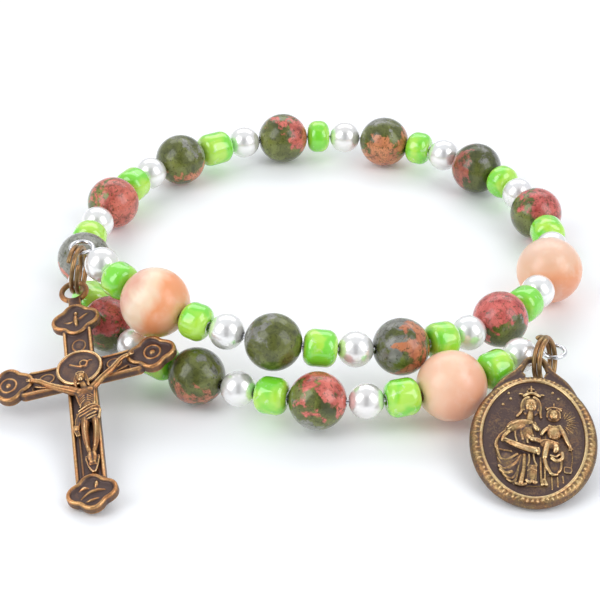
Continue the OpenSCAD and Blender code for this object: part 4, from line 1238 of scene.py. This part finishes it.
def make_lights(scene):
    """White dome with a darker gap between the two soft boxes, and a strip behind."""
    world = bpy.data.worlds.new("studio")
    scene.world = world
    world.use_nodes = True
    tree = world.node_tree
    back = tree.nodes["Background"]
    back.inputs["Color"].default_value = (0.93, 0.96, 1.0, 1.0)
    parts = add(tree, "SeparateXYZ", {"Vector": add(tree, "TexCoord").outputs["Generated"]}).outputs
    beside = mask(tree, math_of(tree, "ABSOLUTE", parts["X"]), 0.14, 0.32)
    behind = mask(tree, parts["Y"], -0.55, -0.25)
    dome = add(tree, "MapRange", {"Value": math_of(tree, "MAXIMUM", beside, behind), "To Min": 0.15, "To Max": 0.7})
    tree.links.new(dome.outputs[0], back.inputs["Strength"])
    area_light("left_box", (-0.42, -0.22, 0.36), (0.34, 0.5), 1.4)
    area_light("right_box", (0.42, -0.22, 0.36), (0.34, 0.5), 1.2)
    area_light("back_box", (0.0, 0.5, 0.5), (0.9, 0.35), 1.5)


def make_camera(scene, settings):
    place, target = Vector(settings.place), Vector(settings.target)
    forward = (target - place).normalized()
    right = forward.cross(Vector((0.0, 0.0, 1.0))).normalized()
    up = right.cross(forward)
    tilted_right = right * math.cos(settings.roll) + up * math.sin(settings.roll)
    tilted_up = up * math.cos(settings.roll) - right * math.sin(settings.roll)
    turn = Matrix((tilted_right, tilted_up, -forward)).transposed()
    data = bpy.data.cameras.new("camera")
    data.lens = settings.lens
    data.sensor_width = 36.0
    data.clip_start, data.clip_end = 0.01, 20.0
    camera = bpy.data.objects.new("camera", data)
    scene.collection.objects.link(camera)
    camera.matrix_world = Matrix.Translation(place) @ turn.to_4x4()
    scene.camera = camera


class BRACELET_PT_panel(bpy.types.Panel):
    bl_label = "Rosary Bracelet"
    bl_idname = "BRACELET_PT_panel"
    bl_space_type = "VIEW_3D"
    bl_region_type = "UI"
    bl_category = "Bracelet"

    def draw(self, context):
        for operator in OPERATORS:
            self.layout.operator(operator.bl_idname)
        scene = context.scene
        for group in (scene.bracelet_sizes, scene.bracelet_pendants, scene.bracelet_colours, scene.bracelet_camera):
            box = self.layout.box()
            for name in group.bl_rna.properties.keys():
                if name not in ("rna_type", "name"):
                    box.prop(group, name)


OPERATORS = (
    BRACELET_OT_stones, BRACELET_OT_corals, BRACELET_OT_pearls, BRACELET_OT_glass, BRACELET_OT_wire,
    BRACELET_OT_crucifix, BRACELET_OT_medal, BRACELET_OT_stage)
CLASSES = (BraceletSizes, PendantSizes, BraceletColours, BraceletCamera) + OPERATORS + (BRACELET_PT_panel,)


def register():
    for cls in CLASSES:
        bpy.utils.register_class(cls)
    bpy.types.Scene.bracelet_sizes = PointerProperty(type=BraceletSizes)
    bpy.types.Scene.bracelet_pendants = PointerProperty(type=PendantSizes)
    bpy.types.Scene.bracelet_colours = PointerProperty(type=BraceletColours)
    bpy.types.Scene.bracelet_camera = PointerProperty(type=BraceletCamera)


def unregister():
    del bpy.types.Scene.bracelet_camera
    del bpy.types.Scene.bracelet_colours
    del bpy.types.Scene.bracelet_pendants
    del bpy.types.Scene.bracelet_sizes
    for cls in reversed(CLASSES):
        bpy.utils.unregister_class(cls)


def main():
    register()
    bpy.ops.bracelet.stones()
    bpy.ops.bracelet.corals()
    bpy.ops.bracelet.pearls()
    bpy.ops.bracelet.glass()
    bpy.ops.bracelet.wire()
    bpy.ops.bracelet.crucifix()
    bpy.ops.bracelet.medal()
    bpy.ops.bracelet.stage()


if __name__ == "__main__":
    main()
